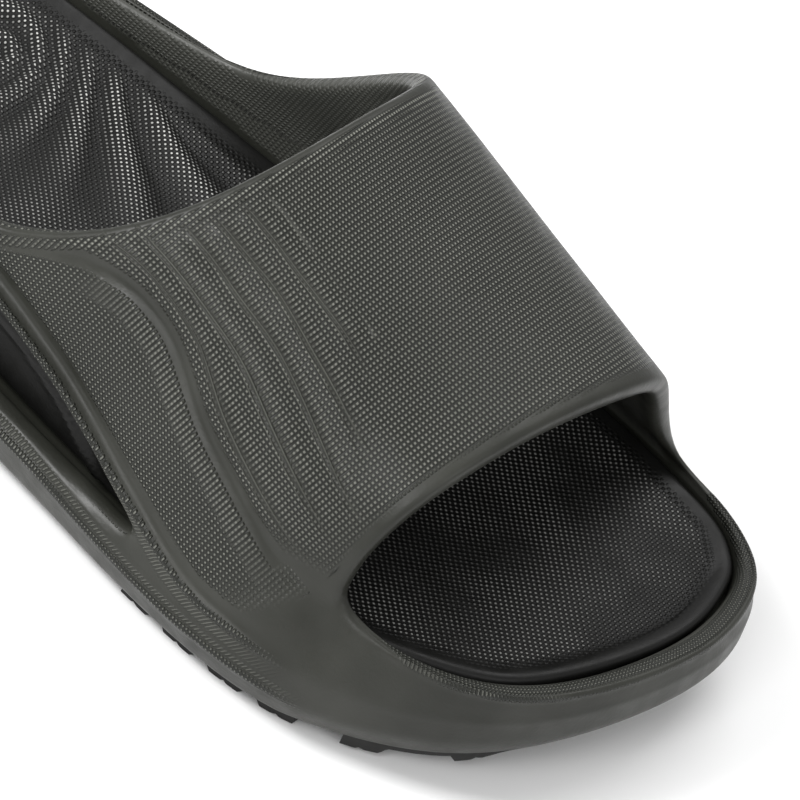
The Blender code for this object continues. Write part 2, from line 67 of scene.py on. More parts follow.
shoe = {
    "length": 295.0,
    "ballWidth": 109.0,
    "instepHeight": 84.0,
    "treadThickness": 2.8,
    "padClearance": 0.35,
    "toeSpring": 9.0,
    "toeSpringStart": 0.28,
    "heelSpring": 3.0,
    "heelSpringStart": -0.42,
    "archRise": 1.6,
    "archStart": -0.19,
    "archEnd": 0.09,
}

# Seen from above, heel to toe: across as shares of the ball width, along as shares of the length.
outlineColumns = ("lateralAcross", "lateralAlong", "medialAcross", "medialAlong")
outlineRows = (
    (-0.012, -0.500, -0.012, -0.500),
    (0.107, -0.490, -0.122, -0.490),
    (0.216, -0.461, -0.228, -0.461),
    (0.294, -0.414, -0.306, -0.414),
    (0.345, -0.339, -0.361, -0.339),
    (0.366, -0.237, -0.388, -0.237),
    (0.376, -0.119, -0.396, -0.119),
    (0.402, 0.000, -0.416, 0.000),
    (0.441, 0.105, -0.448, 0.105),
    (0.480, 0.186, -0.484, 0.186),
    (0.500, 0.264, -0.500, 0.271),
    (0.483, 0.329, -0.480, 0.342),
    (0.423, 0.386, -0.446, 0.400),
    (0.300, 0.447, -0.414, 0.447),
    (0.098, 0.482, -0.338, 0.485),
    (-0.140, 0.500, -0.140, 0.500),
)


def through(stations, values):  # smooth function through a table column, with no overshoot
    x = np.array(stations, float)
    y = np.array(values, float)
    steps = np.diff(x)
    slopes = np.diff(y) / steps
    tangents = np.zeros(len(x))
    for i in range(1, len(x) - 1):
        if slopes[i - 1] * slopes[i] > 0:
            before = 2 * steps[i] + steps[i - 1]
            after = steps[i] + 2 * steps[i - 1]
            tangents[i] = (before + after) / (before / slopes[i - 1] + after / slopes[i])

    def value(at):
        at = np.clip(at, x[0], x[-1])
        i = np.minimum(np.searchsorted(x, at, side="right") - 1, len(steps) - 1)
        f = (at - x[i]) / steps[i]
        rise = y[i] * (1 + 2 * f) * (1 - f) ** 2 + y[i + 1] * f * f * (3 - 2 * f)
        return rise + steps[i] * (tangents[i] * f * (1 - f) ** 2 - tangents[i + 1] * f * f * (1 - f))

    return value


def tableColumn(rows, names, name):
    place = names.index(name)
    return [row[place] for row in rows]


def alongTable(rows, names, name):
    return through(tableColumn(rows, names, "along"), tableColumn(rows, names, name))


def pointsOf(rows, names, wanted, size):
    shares = np.array([tableColumn(rows, names, name) for name in wanted], float).T
    return list(shares * np.array(size))


def onCurve(points, at, closed=False):
    count = len(points)
    i = int(math.floor(at))
    if not closed:
        i = min(max(i, 0), count - 2)
    f = at - i
    if closed:
        a, b, c, d = (points[(i + n) % count] for n in (-1, 0, 1, 2))
    else:
        b, c = points[i], points[i + 1]
        a = points[i - 1] if i > 0 else 2 * b - c
        d = points[i + 2] if i + 2 < count else 2 * c - b
    bend = (2 * a - 5 * b + 4 * c - d) * f * f + (-a + 3 * b - 3 * c + d) * f**3
    return b + 0.5 * ((c - a) * f + bend)


outlineSize = (shoe["ballWidth"], shoe["length"])
lateralPoints = pointsOf(outlineRows, outlineColumns, ("lateralAcross", "lateralAlong"), outlineSize)
medialPoints = pointsOf(outlineRows, outlineColumns, ("medialAcross", "medialAlong"), outlineSize)
ringPoints = lateralPoints + medialPoints[-2:0:-1]
toePlace = len(outlineRows) - 1


def outlineAt(side, place):
    at = place if side == lateral else len(ringPoints) - place
    point = onCurve(ringPoints, at, closed=True)
    ahead = onCurve(ringPoints, at + 0.01, closed=True) - onCurve(ringPoints, at - 0.01, closed=True)
    return point, np.array((ahead[1], -ahead[0])) / np.linalg.norm(ahead)


def placed(side, place, inset, z):
    point, outward = outlineAt(side, place)
    x, y = point - outward * inset
    return np.array((x, y, z))


def soleLift(y):
    along = y / shoe["length"]
    toe = np.maximum(0, (along - shoe["toeSpringStart"]) / (0.5 - shoe["toeSpringStart"]))
    heel = np.maximum(0, (shoe["heelSpringStart"] - along) / (0.5 + shoe["heelSpringStart"]))
    arch = np.clip((along - shoe["archStart"]) / (shoe["archEnd"] - shoe["archStart"]), 0, 1)
    springs = shoe["toeSpring"] * toe**2 + shoe["heelSpring"] * heel**2
    return springs + shoe["archRise"] * np.sin(math.pi * arch) ** 2


def shellBottom(y):
    return shoe["treadThickness"] + shoe["padClearance"] + soleLift(y)


def smoothStep(low, high, value):
    share = np.clip((value - low) / (high - low), 0, 1)
    return share * share * (3 - 2 * share)


# The foam shell: cup, rim and instep band in one moulding.
shell = {
    "rimWall": 6.6,
    "bandWall": 5.0,
    "cupFloor": 7.0,
    "bottomEdgeInset": 2.6,
    "bottomFaceInset": 7.8,
    "bandSaddle": 1.4,
    "ridgeStep": 1.9,
    "windowInset": 2.8,
    "windowLowEdge": 0.55,
    "windowHighEdge": 0.85,
    "windowBevel": 0.45,
    "shoulderLean": 0.12,
    "bottomEdgeRise": 0.06,
    "floorFillet": 0.4,
    "floorFilletRise": 0.1,
    "windowFloorRise": 0.25,
    "upperWallShare": 0.6,
    "lipStart": 0.25,
    "leastRun": 0.6,
    "heelPlaces": (0, 1, 2, 3, 4, 4.75, 5.6, 6.4),
    "bandRear": 7.05,
    "bandFront": (11.1, 11.65),
    "bandShares": (0, 0.04, 0.12, 0.21, 0.31, 0.40, 0.49, 0.56, 0.64, 0.73, 0.82, 0.9, 0.96, 1),
    "bandStrips": (0, 0.5, 1, 1.5, 2, 2.5, 3, 3.5, 4, 4.5, 5, 6, 7, 8, 9),
    "toeShares": (0.2, 0.4, 0.6, 0.8, 1),
    "floorShares": (0.33, 0.67),
    "bulgeRows": 4,
    "windowColumns": (5, 14),
    "windowRows": (3, 2),
    "crispRows": ((1, 0.6), (2, 0.4), (6, 0.7)),
    "lineRows": {"ridge": 6, "low": 2},
    "crispEnd": 0.27,
    "subdivisions": 3,
}

# Heights up the side, as shares of the instep height.
sideColumns = ("along", "low", "slotLow", "slotHigh", "medialHigh", "ridge", "rim", "medialRim")
sideRows = (
    (-0.500, 0.155, 0.230, 0.262, 0.262, 0.335, 0.470, 0.470),
    (-0.407, 0.140, 0.226, 0.280, 0.270, 0.365, 0.480, 0.464),
    (-0.264, 0.130, 0.240, 0.290, 0.280, 0.405, 0.500, 0.444),
    (-0.119, 0.130, 0.222, 0.382, 0.320, 0.450, 0.520, 0.462),
    (0.003, 0.132, 0.190, 0.402, 0.320, 0.462, 0.545, 0.500),
    (0.085, 0.130, 0.172, 0.345, 0.275, 0.402, 0.535, 0.500),
    (0.180, 0.116, 0.186, 0.232, 0.180, 0.275, 0.470, 0.450),
    (0.254, 0.106, 0.138, 0.165, 0.155, 0.196, 0.410, 0.400),
    (0.335, 0.104, 0.135, 0.160, 0.155, 0.190, 0.350, 0.358),
    (0.424, 0.146, 0.174, 0.197, 0.195, 0.221, 0.302, 0.304),
    (0.500, 0.180, 0.205, 0.225, 0.225, 0.246, 0.290, 0.290),
)

# How far the wall's rows lie in from the outline, as shares of the rim wall.
leanColumns = (
    "along", "ridge", "rim", "lip", "wall", "medialRidge", "medialRim", "medialLip", "medialWall",
)
leanRows = (
    (-0.500, 0.00, 0.38, 0.95, 1.00, 0.00, 0.38, 0.95, 1.00),
    (-0.264, -0.08, 0.34, 0.92, 1.00, -0.05, 0.26, 0.70, 0.85),
    (0.003, -0.15, 0.38, 0.98, 1.00, -0.05, 0.30, 0.74, 0.75),
    (0.105, -0.02, 0.52, 1.10, 1.00, 0.05, 0.40, 0.86, 0.70),
    (0.180, 0.12, 0.70, 1.28, 1.00, 0.12, 0.52, 1.02, 0.66),
    (0.254, 0.10, 0.92, 1.48, 1.00, 0.10, 0.62, 1.18, 0.56),
    (0.335, 0.08, 1.04, 1.55, 1.00, 0.08, 0.62, 1.00, 0.40),
    (0.380, 0.05, 0.50, 0.80, 1.00, 0.05, 0.30, 0.56, 0.26),
    (0.424, 0.05, 0.30, 0.60, 1.00, 0.05, 0.06, 0.24, 0.24),
    (0.500, 0.05, 0.28, 0.58, 1.00, 0.05, 0.28, 0.58, 1.00),
)

# Edges of the instep band from the outer to the inner side, as shares of width, length and height.
bandColumns = ("rearAcross", "rearAlong", "rearUp", "frontAcross", "frontAlong", "frontUp")
bandRows = (
    (0.370, 0.0525, 0.650, 0.408, 0.330, 0.477),
    (0.332, 0.0915, 0.762, 0.366, 0.337, 0.600),
    (0.245, 0.1203, 0.870, 0.284, 0.346, 0.692),
    (0.107, 0.1410, 0.970, 0.117, 0.359, 0.756),
    (-0.077, 0.1508, 1.020, -0.058, 0.370, 0.760),
    (-0.250, 0.1500, 0.992, -0.232, 0.377, 0.722),
    (-0.382, 0.1120, 0.825, -0.322, 0.372, 0.606),
    (-0.408, 0.0576, 0.625, -0.392, 0.373, 0.446),
)
wallRows = ((0.2, 0), (0.5, 0.35), (0.82, 0.78), (1, 1))  # rise and lean over the ridge
reliefRows = ((-0.5, 0.1), (-0.3, 0.4), (-0.2, 1), (0.1, 1), (0.2, 0.55), (0.34, 0.15), (0.5, 0.1))
bedEdgeRows = (
    (-0.500, 0.440),
    (-0.300, 0.436),
    (-0.119, 0.424),
    (0.000, 0.392),
    (0.058, 0.366),
    (0.186, 0.325),
    (0.322, 0.306),
    (0.407, 0.298),
    (0.500, 0.286),
)

sideHeights = {name: alongTable(sideRows, sideColumns, name) for name in sideColumns[1:]}
sideLeans = {name: alongTable(leanRows, leanColumns, name) for name in leanColumns[1:]}
reliefDepth = through(*zip(*reliefRows))
bedEdgeShare = through(*zip(*bedEdgeRows))
bandSize = (shoe["ballWidth"], shoe["length"], shoe["instepHeight"])
bandRearPoints = pointsOf(bandRows, bandColumns, ("rearAcross", "rearAlong", "rearUp"), bandSize)
bandFrontPoints = pointsOf(bandRows, bandColumns, ("frontAcross", "frontAlong", "frontUp"), bandSize)
bandLast = len(bandRows) + 1


def bedEdge(y):
    return bedEdgeShare(y / shoe["length"]) * shoe["instepHeight"]


def heightOf(name, side, y):
    name = {"slotHigh": "medialHigh", "rim": "medialRim"}.get(name, name) if side == medial else name
    return sideHeights[name](y / shoe["length"]) * shoe["instepHeight"]


def leanOf(name, side, y):
    name = "medial" + name.capitalize() if side == medial else name
    return sideLeans[name](y / shoe["length"]) * shell["rimWall"]


def outerRows(side, place):  # the wall's outer face from the bottom to the rim, as inset and height
    y = outlineAt(side, place)[0][1]
    bottom = shellBottom(y)
    low, slotLow, slotHigh, ridge, rim = (
        heightOf(name, side, y) for name in ("low", "slotLow", "slotHigh", "ridge", "rim")
    )
    depth = reliefDepth(y / shoe["length"])
    ridgeLean = leanOf("ridge", side, y)
    rimLean = leanOf("rim", side, y)
    window = shell["windowInset"] * depth
    shoulder = ridgeLean + shell["ridgeStep"] * depth + shell["shoulderLean"] * (rimLean - ridgeLean)
    rows = [
        (shell["bottomFaceInset"], bottom),
        (shell["bottomEdgeInset"], bottom + shell["bottomEdgeRise"] * low),
        (0, low),
        (shell["windowLowEdge"] * window, slotLow),
        (shell["windowHighEdge"] * window, slotHigh),
        (window, slotHigh + shell["windowBevel"] * (ridge - slotHigh)),
        (ridgeLean, ridge),
    ]
    for rise, share in wallRows:
        rows.append((shoulder + share * (rimLean - shoulder), ridge + rise * (rim - ridge)))
    return rows


def innerRows(side, place):  # the wall's inner face from the cup floor to the lip
    y = outlineAt(side, place)[0][1]
    floor = shellBottom(y) + shell["cupFloor"]
    rim = heightOf("rim", side, y)
    wall = leanOf("wall", side, y)
    lip = leanOf("lip", side, y)
    slotLow = max(heightOf("slotLow", side, y), floor + shell["windowFloorRise"] * shell["cupFloor"])
    slotHigh = max(heightOf("slotHigh", side, y), slotLow + shell["leastRun"])
    edge = min(max(bedEdge(y), slotHigh + shell["leastRun"]), rim - shell["leastRun"])
    return (
        (wall + shell["floorFillet"] * shell["rimWall"], floor),
        (wall, floor + shell["floorFilletRise"] * shell["cupFloor"]),
        (wall, slotLow),
        (wall, slotHigh),
        (wall, slotHigh + shell["upperWallShare"] * (edge - slotHigh)),
        (wall + shell["lipStart"] * (lip - wall), edge + shell["lipStart"] * (rim - edge)),
        (lip, rim),
    )


def placesAlong(settings, shares):  # for each side, the places of a piece's columns from heel to toe
    places = {}
    for side in (lateral, medial):
        front = shell["bandFront"][side]
        places[side] = list(settings["heelPlaces"])
        places[side] += [shell["bandRear"] + share * (front - shell["bandRear"]) for share in shares]
        places[side] += [front + share * (toePlace - front) for share in settings["toeShares"]]
    return places


def bandEnd(side, share):  # where the band leaves the side wall
    place = shell["bandRear"] + share * (shell["bandFront"][side] - shell["bandRear"])
    return placed(side, place, *outerRows(side, place)[-1])


def bandPoint(share, across):  # share runs from rear to front edge, across counts the band's table rows
    rearEdge = [bandEnd(lateral, 0), *bandRearPoints, bandEnd(medial, 0)]
    frontEdge = [bandEnd(lateral, 1), *bandFrontPoints, bandEnd(medial, 1)]
    rear, front = onCurve(rearEdge, across), onCurve(frontEdge, across)
    point = rear + share * (front - rear)
    for side, end, rowsAway in ((lateral, 0, across), (medial, -1, bandLast - across)):
        straight = rearEdge[end] + share * (frontEdge[end] - rearEdge[end])
        point = point + (bandEnd(side, share) - straight) * max(0, 1 - rowsAway / shell["bulgeRows"]) ** 2
    saddle = shell["bandSaddle"] * math.sin(math.pi * share) * math.sin(math.pi * across / bandLast)
    return point - np.array((0, 0, saddle))


def bandNormal(share, across, step=0.02):
    low, high = max(share - step, 0), min(share + step, 1)
    left, right = max(across - step, 0), min(across + step, bandLast)
    forward = bandPoint(high, across) - bandPoint(low, across)
    sideways = bandPoint(share, right) - bandPoint(share, left)
    normal = np.cross(forward, sideways)
    normal /= np.linalg.norm(normal)
    return -normal if normal[2] < 0 and 1 < across < bandLast - 1 else normal


class Cage:  # named corners and the faces between them
    def __init__(self):
        self.mesh = bmesh.new()
        self.corners = {}
        self.outside = self.mesh.verts.layers.float.new("outside")
        self.crisp = self.mesh.edges.layers.float.new("crease_edge")

    def add(self, key, position, outside=0.0):
        corner = self.mesh.verts.new(position)
        corner[self.outside] = outside
        self.corners[key] = corner

    def face(self, *keys):
        corners = []
        for key in keys:
            if self.corners[key] not in corners:
                corners.append(self.corners[key])
        if len(corners) > 2:
            self.mesh.faces.new(corners)

    def crease(self, keys, amount):
        for first, second in zip(keys, keys[1:]):
            edge = self.mesh.edges.get((self.corners[first], self.corners[second]))
            if edge:
                edge[self.crisp] = amount

    def smoothMesh(self, name, levels):
        bmesh.ops.recalc_face_normals(self.mesh, faces=self.mesh.faces[:])
        rough = bpy.data.meshes.new(name + " cage")
        self.mesh.to_mesh(rough)
        self.mesh.free()
        helper = bpy.data.objects.new(name + " cage", rough)
        bpy.context.scene.collection.objects.link(helper)
        subdivide = helper.modifiers.new("soft form", "SUBSURF")
        subdivide.levels = levels
        subdivide.render_levels = levels
        graph = bpy.context.evaluated_depsgraph_get()
        mesh = bpy.data.meshes.new_from_object(helper.evaluated_get(graph))
        bpy.data.objects.remove(helper)
        bpy.data.meshes.remove(rough)
        mesh.name = name
        mesh.shade_smooth()
        return mesh


def fillAcross(cage, key, count, shares, middle):  # closes a ring of corners with rows of faces
    across = len(shares) + 1

    def innerKey(j, n):
        if n == 0 or j in (0, count):
            return key(lateral, j)
        return key(medial, j) if n == across else (key(lateral, j), n)

    for j in range(1, count):
        start, end = (np.array(cage.corners[key(side, j)].co) for side in (lateral, medial))
        for n, share in enumerate(shares, 1):
            cage.add(innerKey(j, n), middle(start + share * (end - start), share))
    for j in range(count):
        for n in range(across):
            cage.face(innerKey(j, n), innerKey(j, n + 1), innerKey(j + 1, n + 1), innerKey(j + 1, n))


def flatSurface(point, share):
    return point


def shellMesh():
    cage = Cage()
    shares, strips = shell["bandShares"], shell["bandStrips"]
    places = placesAlong(shell, shares)
    last = len(places[lateral]) - 1
    rear = len(shell["heelPlaces"])
    front = rear + len(shares) - 1
    profiles = {"outer": outerRows, "inner": innerRows}
    rowCount = {"outer": len(outerRows(lateral, 0)), "inner": len(innerRows(lateral, 0))}
    across = len(strips) - 1

    def key(face, side, j, row):
        return (face, lateral if j in (0, last) else side, j, row)

    def top(face, side, j):
        return key(face, side, j, rowCount[face] - 1)

    def bandKey(face, i, m):
        if m in (0, across):
            return top(face, lateral if m == 0 else medial, rear + i)
        return ("band " + face, i, m)

    for side in (lateral, medial):
        for j, place in enumerate(places[side]):
            if side == medial and j in (0, last):
                continue
            for face, profile in profiles.items():
                for row, (inset, z) in enumerate(profile(side, place)):
                    cage.add(key(face, side, j, row), placed(side, place, inset, z), face == "outer")

    # Side walls, open at the windows
    first, stop = shell["windowColumns"]
    slots = dict(zip(("outer", "inner"), shell["windowRows"]))
    for side in (lateral, medial):
        for face in profiles:
            for j in range(last):
                for row in range(rowCount[face] - 1):
                    if row == slots[face] and first <= j < stop:
                        continue
                    corners = ((j, row), (j + 1, row), (j + 1, row + 1), (j, row + 1))
                    cage.face(*(key(face, side, *corner) for corner in corners))
        for j in range(first, stop):
            for step in (0, 1):
                outer, inner = slots["outer"] + step, slots["inner"] + step
                cage.face(key("outer", side, j, outer), key("outer", side, j + 1, outer),
                          key("inner", side, j + 1, inner), key("inner", side, j, inner))
        for j in (first, stop):
            cage.face(*(key("outer", side, j, slots["outer"] + step) for step in (0, 1)),
                      *(key("inner", side, j, slots["inner"] + step) for step in (1, 0)))
        for j in [*range(rear), *range(front, last)]:
            cage.face(top("outer", side, j), top("outer", side, j + 1),
                      top("inner", side, j + 1), top("inner", side, j))

    # Band over the instep
    for i, share in enumerate(shares):
        for m in range(1, across):
            point = bandPoint(share, strips[m])
            inner = point - bandNormal(share, strips[m]) * shell["bandWall"]
            cage.add(bandKey("outer", i, m), point, 1.0)
            cage.add(bandKey("inner", i, m), inner)
    for m in range(across):
        for i in range(len(shares) - 1):
            for face in profiles:
                cage.face(bandKey(face, i, m), bandKey(face, i + 1, m),
                          bandKey(face, i + 1, m + 1), bandKey(face, i, m + 1))
        for i in (0, len(shares) - 1):
            cage.face(bandKey("outer", i, m), bandKey("outer", i, m + 1),
                      bandKey("inner", i, m + 1), bandKey("inner", i, m))

    for face in profiles:
        fillAcross(cage, lambda side, j: key(face, side, j, 0), last, shell["floorShares"], flatSurface)
    for side in (lateral, medial):
        ahead = [outlineAt(side, place)[0][1] < shell["crispEnd"] * shoe["length"] for place in places[side]]
        for row, amount in shell["crispRows"]:
            crisp = [j for j in range(last + 1) if row == 1 or ahead[j]]
            cage.crease([key("outer", side, j, row) for j in crisp], amount)
    return cage.smoothMesh("foam shell", shell["subdivisions"])


def readPoints(mesh):
    flat = np.empty(len(mesh.vertices) * 3, np.float32)
    mesh.vertices.foreach_get("co", flat)
    points = flat.reshape(-1, 3).astype(float)
    mesh.vertex_normals.foreach_get("vector", flat)
    return points, flat.reshape(-1, 3).astype(float)


def readFloat(mesh, name):
    values = np.empty(len(mesh.vertices), np.float32)
    mesh.attributes[name].data.foreach_get("value", values)
    return values.astype(float)


def writeMasks(mesh, name, masks):  # three or four masks in one colour attribute
    spare = [np.ones(len(mesh.vertices))] * (4 - len(masks))
    layer = mesh.attributes.new(name, "FLOAT_COLOR", "POINT")
    layer.data.foreach_set("color", np.stack([*masks, *spare], 1).astype(np.float32).ravel())


def writePoints(mesh, points):
    mesh.vertices.foreach_set("co", (points * mm).astype(np.float32).ravel())
    mesh.update()


blockSize = 3000
outOfReach = 1000.0


def blocks(places):  # few points at a time, as each is compared with a whole line
    return np.array_split(places, len(places) // blockSize + 1)


def acrossCurve(points, normals, curve, reach):
    # signed way of each point from a line on the surface, plus towards the crown, and its share along
    low, high = curve.min(0) - reach, curve.max(0) + reach
    near = np.nonzero(((points > low) & (points < high)).all(1))[0]
    signed = np.full(len(points), outOfReach)
    share = np.zeros(len(points))
    tangents = np.gradient(curve, axis=0)
    tangents /= np.linalg.norm(tangents, axis=1, keepdims=True)
    end = len(curve) - 1
    for part in blocks(near):
        gaps = points[part, None] - curve[None]
        closest = np.argmin((gaps**2).sum(2), 1)
        gap = gaps[np.arange(len(part)), closest]
        side = np.cross(normals[part], tangents[closest])
        across = (gap * side).sum(1)
        far = np.linalg.norm(gap, axis=1)
        past = (closest == 0) | (closest == end) | (far > 2.5 * np.abs(across) + 1.5)
        signed[part] = np.where(past, np.copysign(far, across), across)
        share[part] = closest / end
    return signed, share


def curveThrough(points, count):
    points = [np.array(point, float) for point in points]
    return np.array([onCurve(points, at) for at in np.linspace(0, len(points) - 1, count)])


def fadeEnds(share, start, end):
    rise = smoothStep(0, start, share) if start else 1.0
    return rise * (1 - smoothStep(1 - end, 1, share) if end else 1.0)


# Lines moulded on the outer side, as seen from that side: shares of length and of instep height.
ripples = {
    "lines": (
        ((0.075, 0.700), (0.110, 0.706), (0.140, 0.690), (0.170, 0.655), (0.207, 0.568), (0.243, 0.500),
         (0.280, 0.437), (0.312, 0.390)),
        ((0.098, 0.752), (0.130, 0.735), (0.165, 0.706), (0.200, 0.668), (0.240, 0.600), (0.285, 0.520),
         (0.320, 0.455)),
        ((0.114, 0.804), (0.145, 0.782), (0.175, 0.752), (0.215, 0.714), (0.255, 0.655), (0.295, 0.585),
         (0.322, 0.530)),
        ((0.128, 0.838), (0.160, 0.812), (0.190, 0.786), (0.228, 0.740), (0.265, 0.695), (0.300, 0.640)),
        ((0.138, 0.872), (0.165, 0.848), (0.195, 0.818), (0.235, 0.780), (0.270, 0.742)),
    ),
    "heights": (0.70, 1.10, 1.20, 1.05, 0.65),
    "upperWidth": 1.4,
    "lowerWidth": 2.8,
    "spacing": 5.0,
    "ends": (0.10, 0.30),
    "reach": (6.0, 3.5),
    "groove": (
        (0.000, 0.508), (0.019, 0.540), (0.047, 0.594), (0.080, 0.644), (0.112, 0.663), (0.140, 0.651),
        (0.163, 0.620), (0.202, 0.532), (0.236, 0.470), (0.262, 0.421), (0.290, 0.374), (0.325, 0.325),
    ),
    "grooveDepth": 0.9,
    "grooveWidth": 1.6,
    "grooveEnds": (0.14, 0.22),
    "grooveStart": 0.4,
    "stripNearEdge": (-2.8, -1.6),
    "stripFarEdge": (-6.6, -5.8),
    "stripStart": (0.22, 0.46),
    "stripStep": 0.45,
}

wallLines = {
    "ridgeHeight": 0.55,
    "ridgePlace": 0.2,
    "ridgeWidth": 0.9,
    "ridgeEnd": (0.265, 0.33),
    "hollowDepth": 0.8,
    "hollowPlace": 2.7,
    "hollowWidth": 1.3,
    "lowHeight": 0.40,
    "lowWidth": 0.9,
    "lowPlace": 0.7,
    "lowEnd": (0.30, 0.345),
    "sideReach": 4.0,
    "lineHeight": 0.30,
    "linePlace": 3.2,
    "lineWidth": 0.45,
    "lipHeight": 0.35,
    "lipWidth": 0.8,
    "lipPlace": 0.45,
    "lipStart": 0.25,
    "lipFade": 0.2,
    "lipFadeWay": 3.0,
}

# How far round each moulded line its way is measured, in millimetres
searchReach = {"ripple": 24, "groove": 30, "ridge": 18, "low": 12, "frontEdge": 8, "rearEdge": 10, "lip": 6}
farAway = 20.0

# Where the textures start and end, as shares of width, length and height, or ways in millimetres
textures = {
    "outside": (0.35, 0.75),
    "face": (0.7, 0.98),
    "medialSide": (-0.33, -0.46),
    "medialCells": 0.7,
    "medialDots": 0.6,
    "lowWall": (0.62, 0.45),
    "toe": (0.295, 0.34),
    "toeSlant": 0.25,
    "toeSlantHeight": 0.45,
    "frontEdge": (2.0, 3.6),
    "bandEnd": (0.36, 0.385),
    "cellsHeight": (0.40, 0.46),
    "cellsStart": -0.02,
    "innerEdge": (2.5, 4.5),
    "innerEnd": (0.24, 0.30),
    "innerCells": 0.12,
    "bedOverlap": 1.0,
    "heel": (-0.42, -0.25),
    "dotsEnd": 0.36,
}


def sideLine(tree, rows, count=120):  # a line drawn on the side view, laid on the surface
    found = []
    size = np.array((shoe["length"], shoe["instepHeight"]))
    for along, up in curveThrough(rows, count) * size:
        hit = tree.ray_cast(Vector((200, along, up)), Vector((-1, 0, 0)))[0]
        if hit is not None:
            found.append(tuple(hit))
    return np.array(found)


def sideHeight(rows, y):
    along, up = np.array(rows).T
    return np.interp(y / shoe["length"], along, up) * shoe["instepHeight"]


def laidOn(tree, points):  # the nearest place on the surface to each point
    return np.array([tuple(tree.find_nearest(Vector(point))[0]) for point in points])


def wallLine(tree, side, row, count=260):  # a line along one row of the wall, heel to toe
    places = np.linspace(0, toePlace, count)
    return laidOn(tree, [placed(side, place, *outerRows(side, place)[row]) for place in places])


def bandEdge(tree, share, count=90):  # the band's rear edge at share 0, its front edge at share 1
    return laidOn(tree, [bandPoint(share, across) for across in np.linspace(0, bandLast, count)])


def rimLine(tree, side, first, last, count=140):  # the top of the wall between two places
    points = []
    for place in np.linspace(first, last, count):
        outer, inner = outerRows(side, place)[-1], innerRows(side, place)[-1]
        points.append(placed(side, place, 0.5 * (outer[0] + inner[0]), outer[1]))
    return laidOn(tree, points)


def lipLine(tree, side, first, last, count=140):  # on the slope between the rim's top and the footbed
    points = []
    for place in np.linspace(first, last, count):
        below, rim = np.array(innerRows(side, place)[-2:])
        share = wallLines["lipPlace"]
        points.append(placed(side, place, *((1 - share) * rim + share * below)))
    return laidOn(tree, points)


unroll = {
    "slope": 19.0,
    "shear": 0.15,
    "shearWay": 24.0,
    "girthScale": 1.18,
    "axisHeight": 20.0,
    "first": 15.0,
    "last": 81.0,
    "widest": 68.0,
    "planes": 34,
    "angles": 69,
    "reach": 140.0,
    "noHit": 50.0,
}


def unrolled(tree, points):  # places on the moulded grid: along the band's slope, and round it from the crown
    slope = math.radians(unroll["slope"])
    along = points[:, 1] * math.cos(slope) - points[:, 2] * math.sin(slope)
    rise = points[:, 2] * math.cos(slope) + points[:, 1] * math.sin(slope)

    def axisRise(at):
        y = (at + unroll["axisHeight"] * math.sin(slope)) / math.cos(slope)
        return unroll["axisHeight"] * math.cos(slope) + y * math.sin(slope)

    planes = np.linspace(unroll["first"], unroll["last"], unroll["planes"])
    angles = np.radians(np.linspace(-unroll["widest"], unroll["widest"], unroll["angles"]))
    forward = Vector((0, math.cos(slope), -math.sin(slope)))
    upward = Vector((0, math.sin(slope), math.cos(slope)))
    girths, endRises = [], []
    for at in planes:
        centre = forward * at + upward * axisRise(at)
        hits = []
        for angle in angles:
            way = Vector((1, 0, 0)) * math.sin(angle) + upward * math.cos(angle)
            hit = tree.ray_cast(centre + way * unroll["reach"], -way)[0]
            hits.append(np.array(hit if hit is not None else centre + way * unroll["noHit"]))
        steps = np.linalg.norm(np.diff(hits, axis=0), axis=1)
        over = np.concatenate(([0], np.cumsum(steps)))
        girths.append(over - over[len(angles) // 2])
        endRises.append([hits[n] @ np.array(upward) for n in (0, -1)])
    girths, endRises = np.array(girths), np.array(endRises)
    place = np.clip((along - planes[0]) / (planes[1] - planes[0]), 0, len(planes) - 1.001)
    i, f = place.astype(int), place % 1
    angle = np.arctan2(points[:, 0], rise - axisRise(along))
    turn = np.clip((angle - angles[0]) / (angles[1] - angles[0]), 0, len(angles) - 1.001)
    j, g = turn.astype(int), turn % 1
    near = girths[i, j] * (1 - g) + girths[i, j + 1] * g
    far = girths[i + 1, j] * (1 - g) + girths[i + 1, j + 1] * g
    girth = near + (far - near) * f
    for end, sign in ((0, -1), (1, 1)):
        below = endRises[i, end] * (1 - f) + endRises[i + 1, end] * f - rise
        girth = np.where(sign * angle > angles[-1], girth + sign * below, girth)
    middle = 0.5 * (unroll["first"] + unroll["last"])
    girth = girth - unroll["shear"] * (along - middle) * np.tanh(girth / unroll["shearWay"])
    return np.stack((along, girth * unroll["girthScale"]), 1)


def aroundRim(points):  # places along the outline, and up the wall then inwards
    places = np.linspace(0, len(ringPoints), 720, endpoint=False)
    ring = np.array([onCurve(ringPoints, at, closed=True) for at in places])
    steps = np.roll(ring, -1, 0) - ring
    lengths = np.linalg.norm(steps, axis=1)
    ways = np.concatenate(([0], np.cumsum(lengths)[:-1]))
    found = np.empty(len(points))
    inset = np.empty(len(points))
    for part in blocks(np.arange(len(points))):
        gaps = points[part, None, :2] - ring[None]
        nearest = np.argmin((gaps**2).sum(2), 1)
        gap = gaps[np.arange(len(part)), nearest]
        tangent = steps[nearest] / lengths[nearest, None]
        found[part] = ways[nearest] + (gap * tangent).sum(1)
        inset[part] = np.abs(gap[:, 0] * tangent[:, 1] - gap[:, 1] * tangent[:, 0])
    return np.stack((found, points[:, 2] - inset), 1)


def writePlaces(mesh, name, places):  # a map of places in millimetres
    corners = np.empty(len(mesh.loops), np.int32)
    mesh.loops.foreach_get("vertex_index", corners)
    layer = mesh.uv_layers.new(name=name)
    layer.uv.foreach_set("vector", places[corners].astype(np.float32).ravel())


def filledSigns(signed, above):  # points out of reach get a far value on their own side of the line
    return np.where(np.abs(signed) >= outOfReach, np.where(above, farAway, -farAway), signed)


def bell(value, middle, width, power=2):
    return np.exp(-(np.abs((value - middle) / width) ** power))


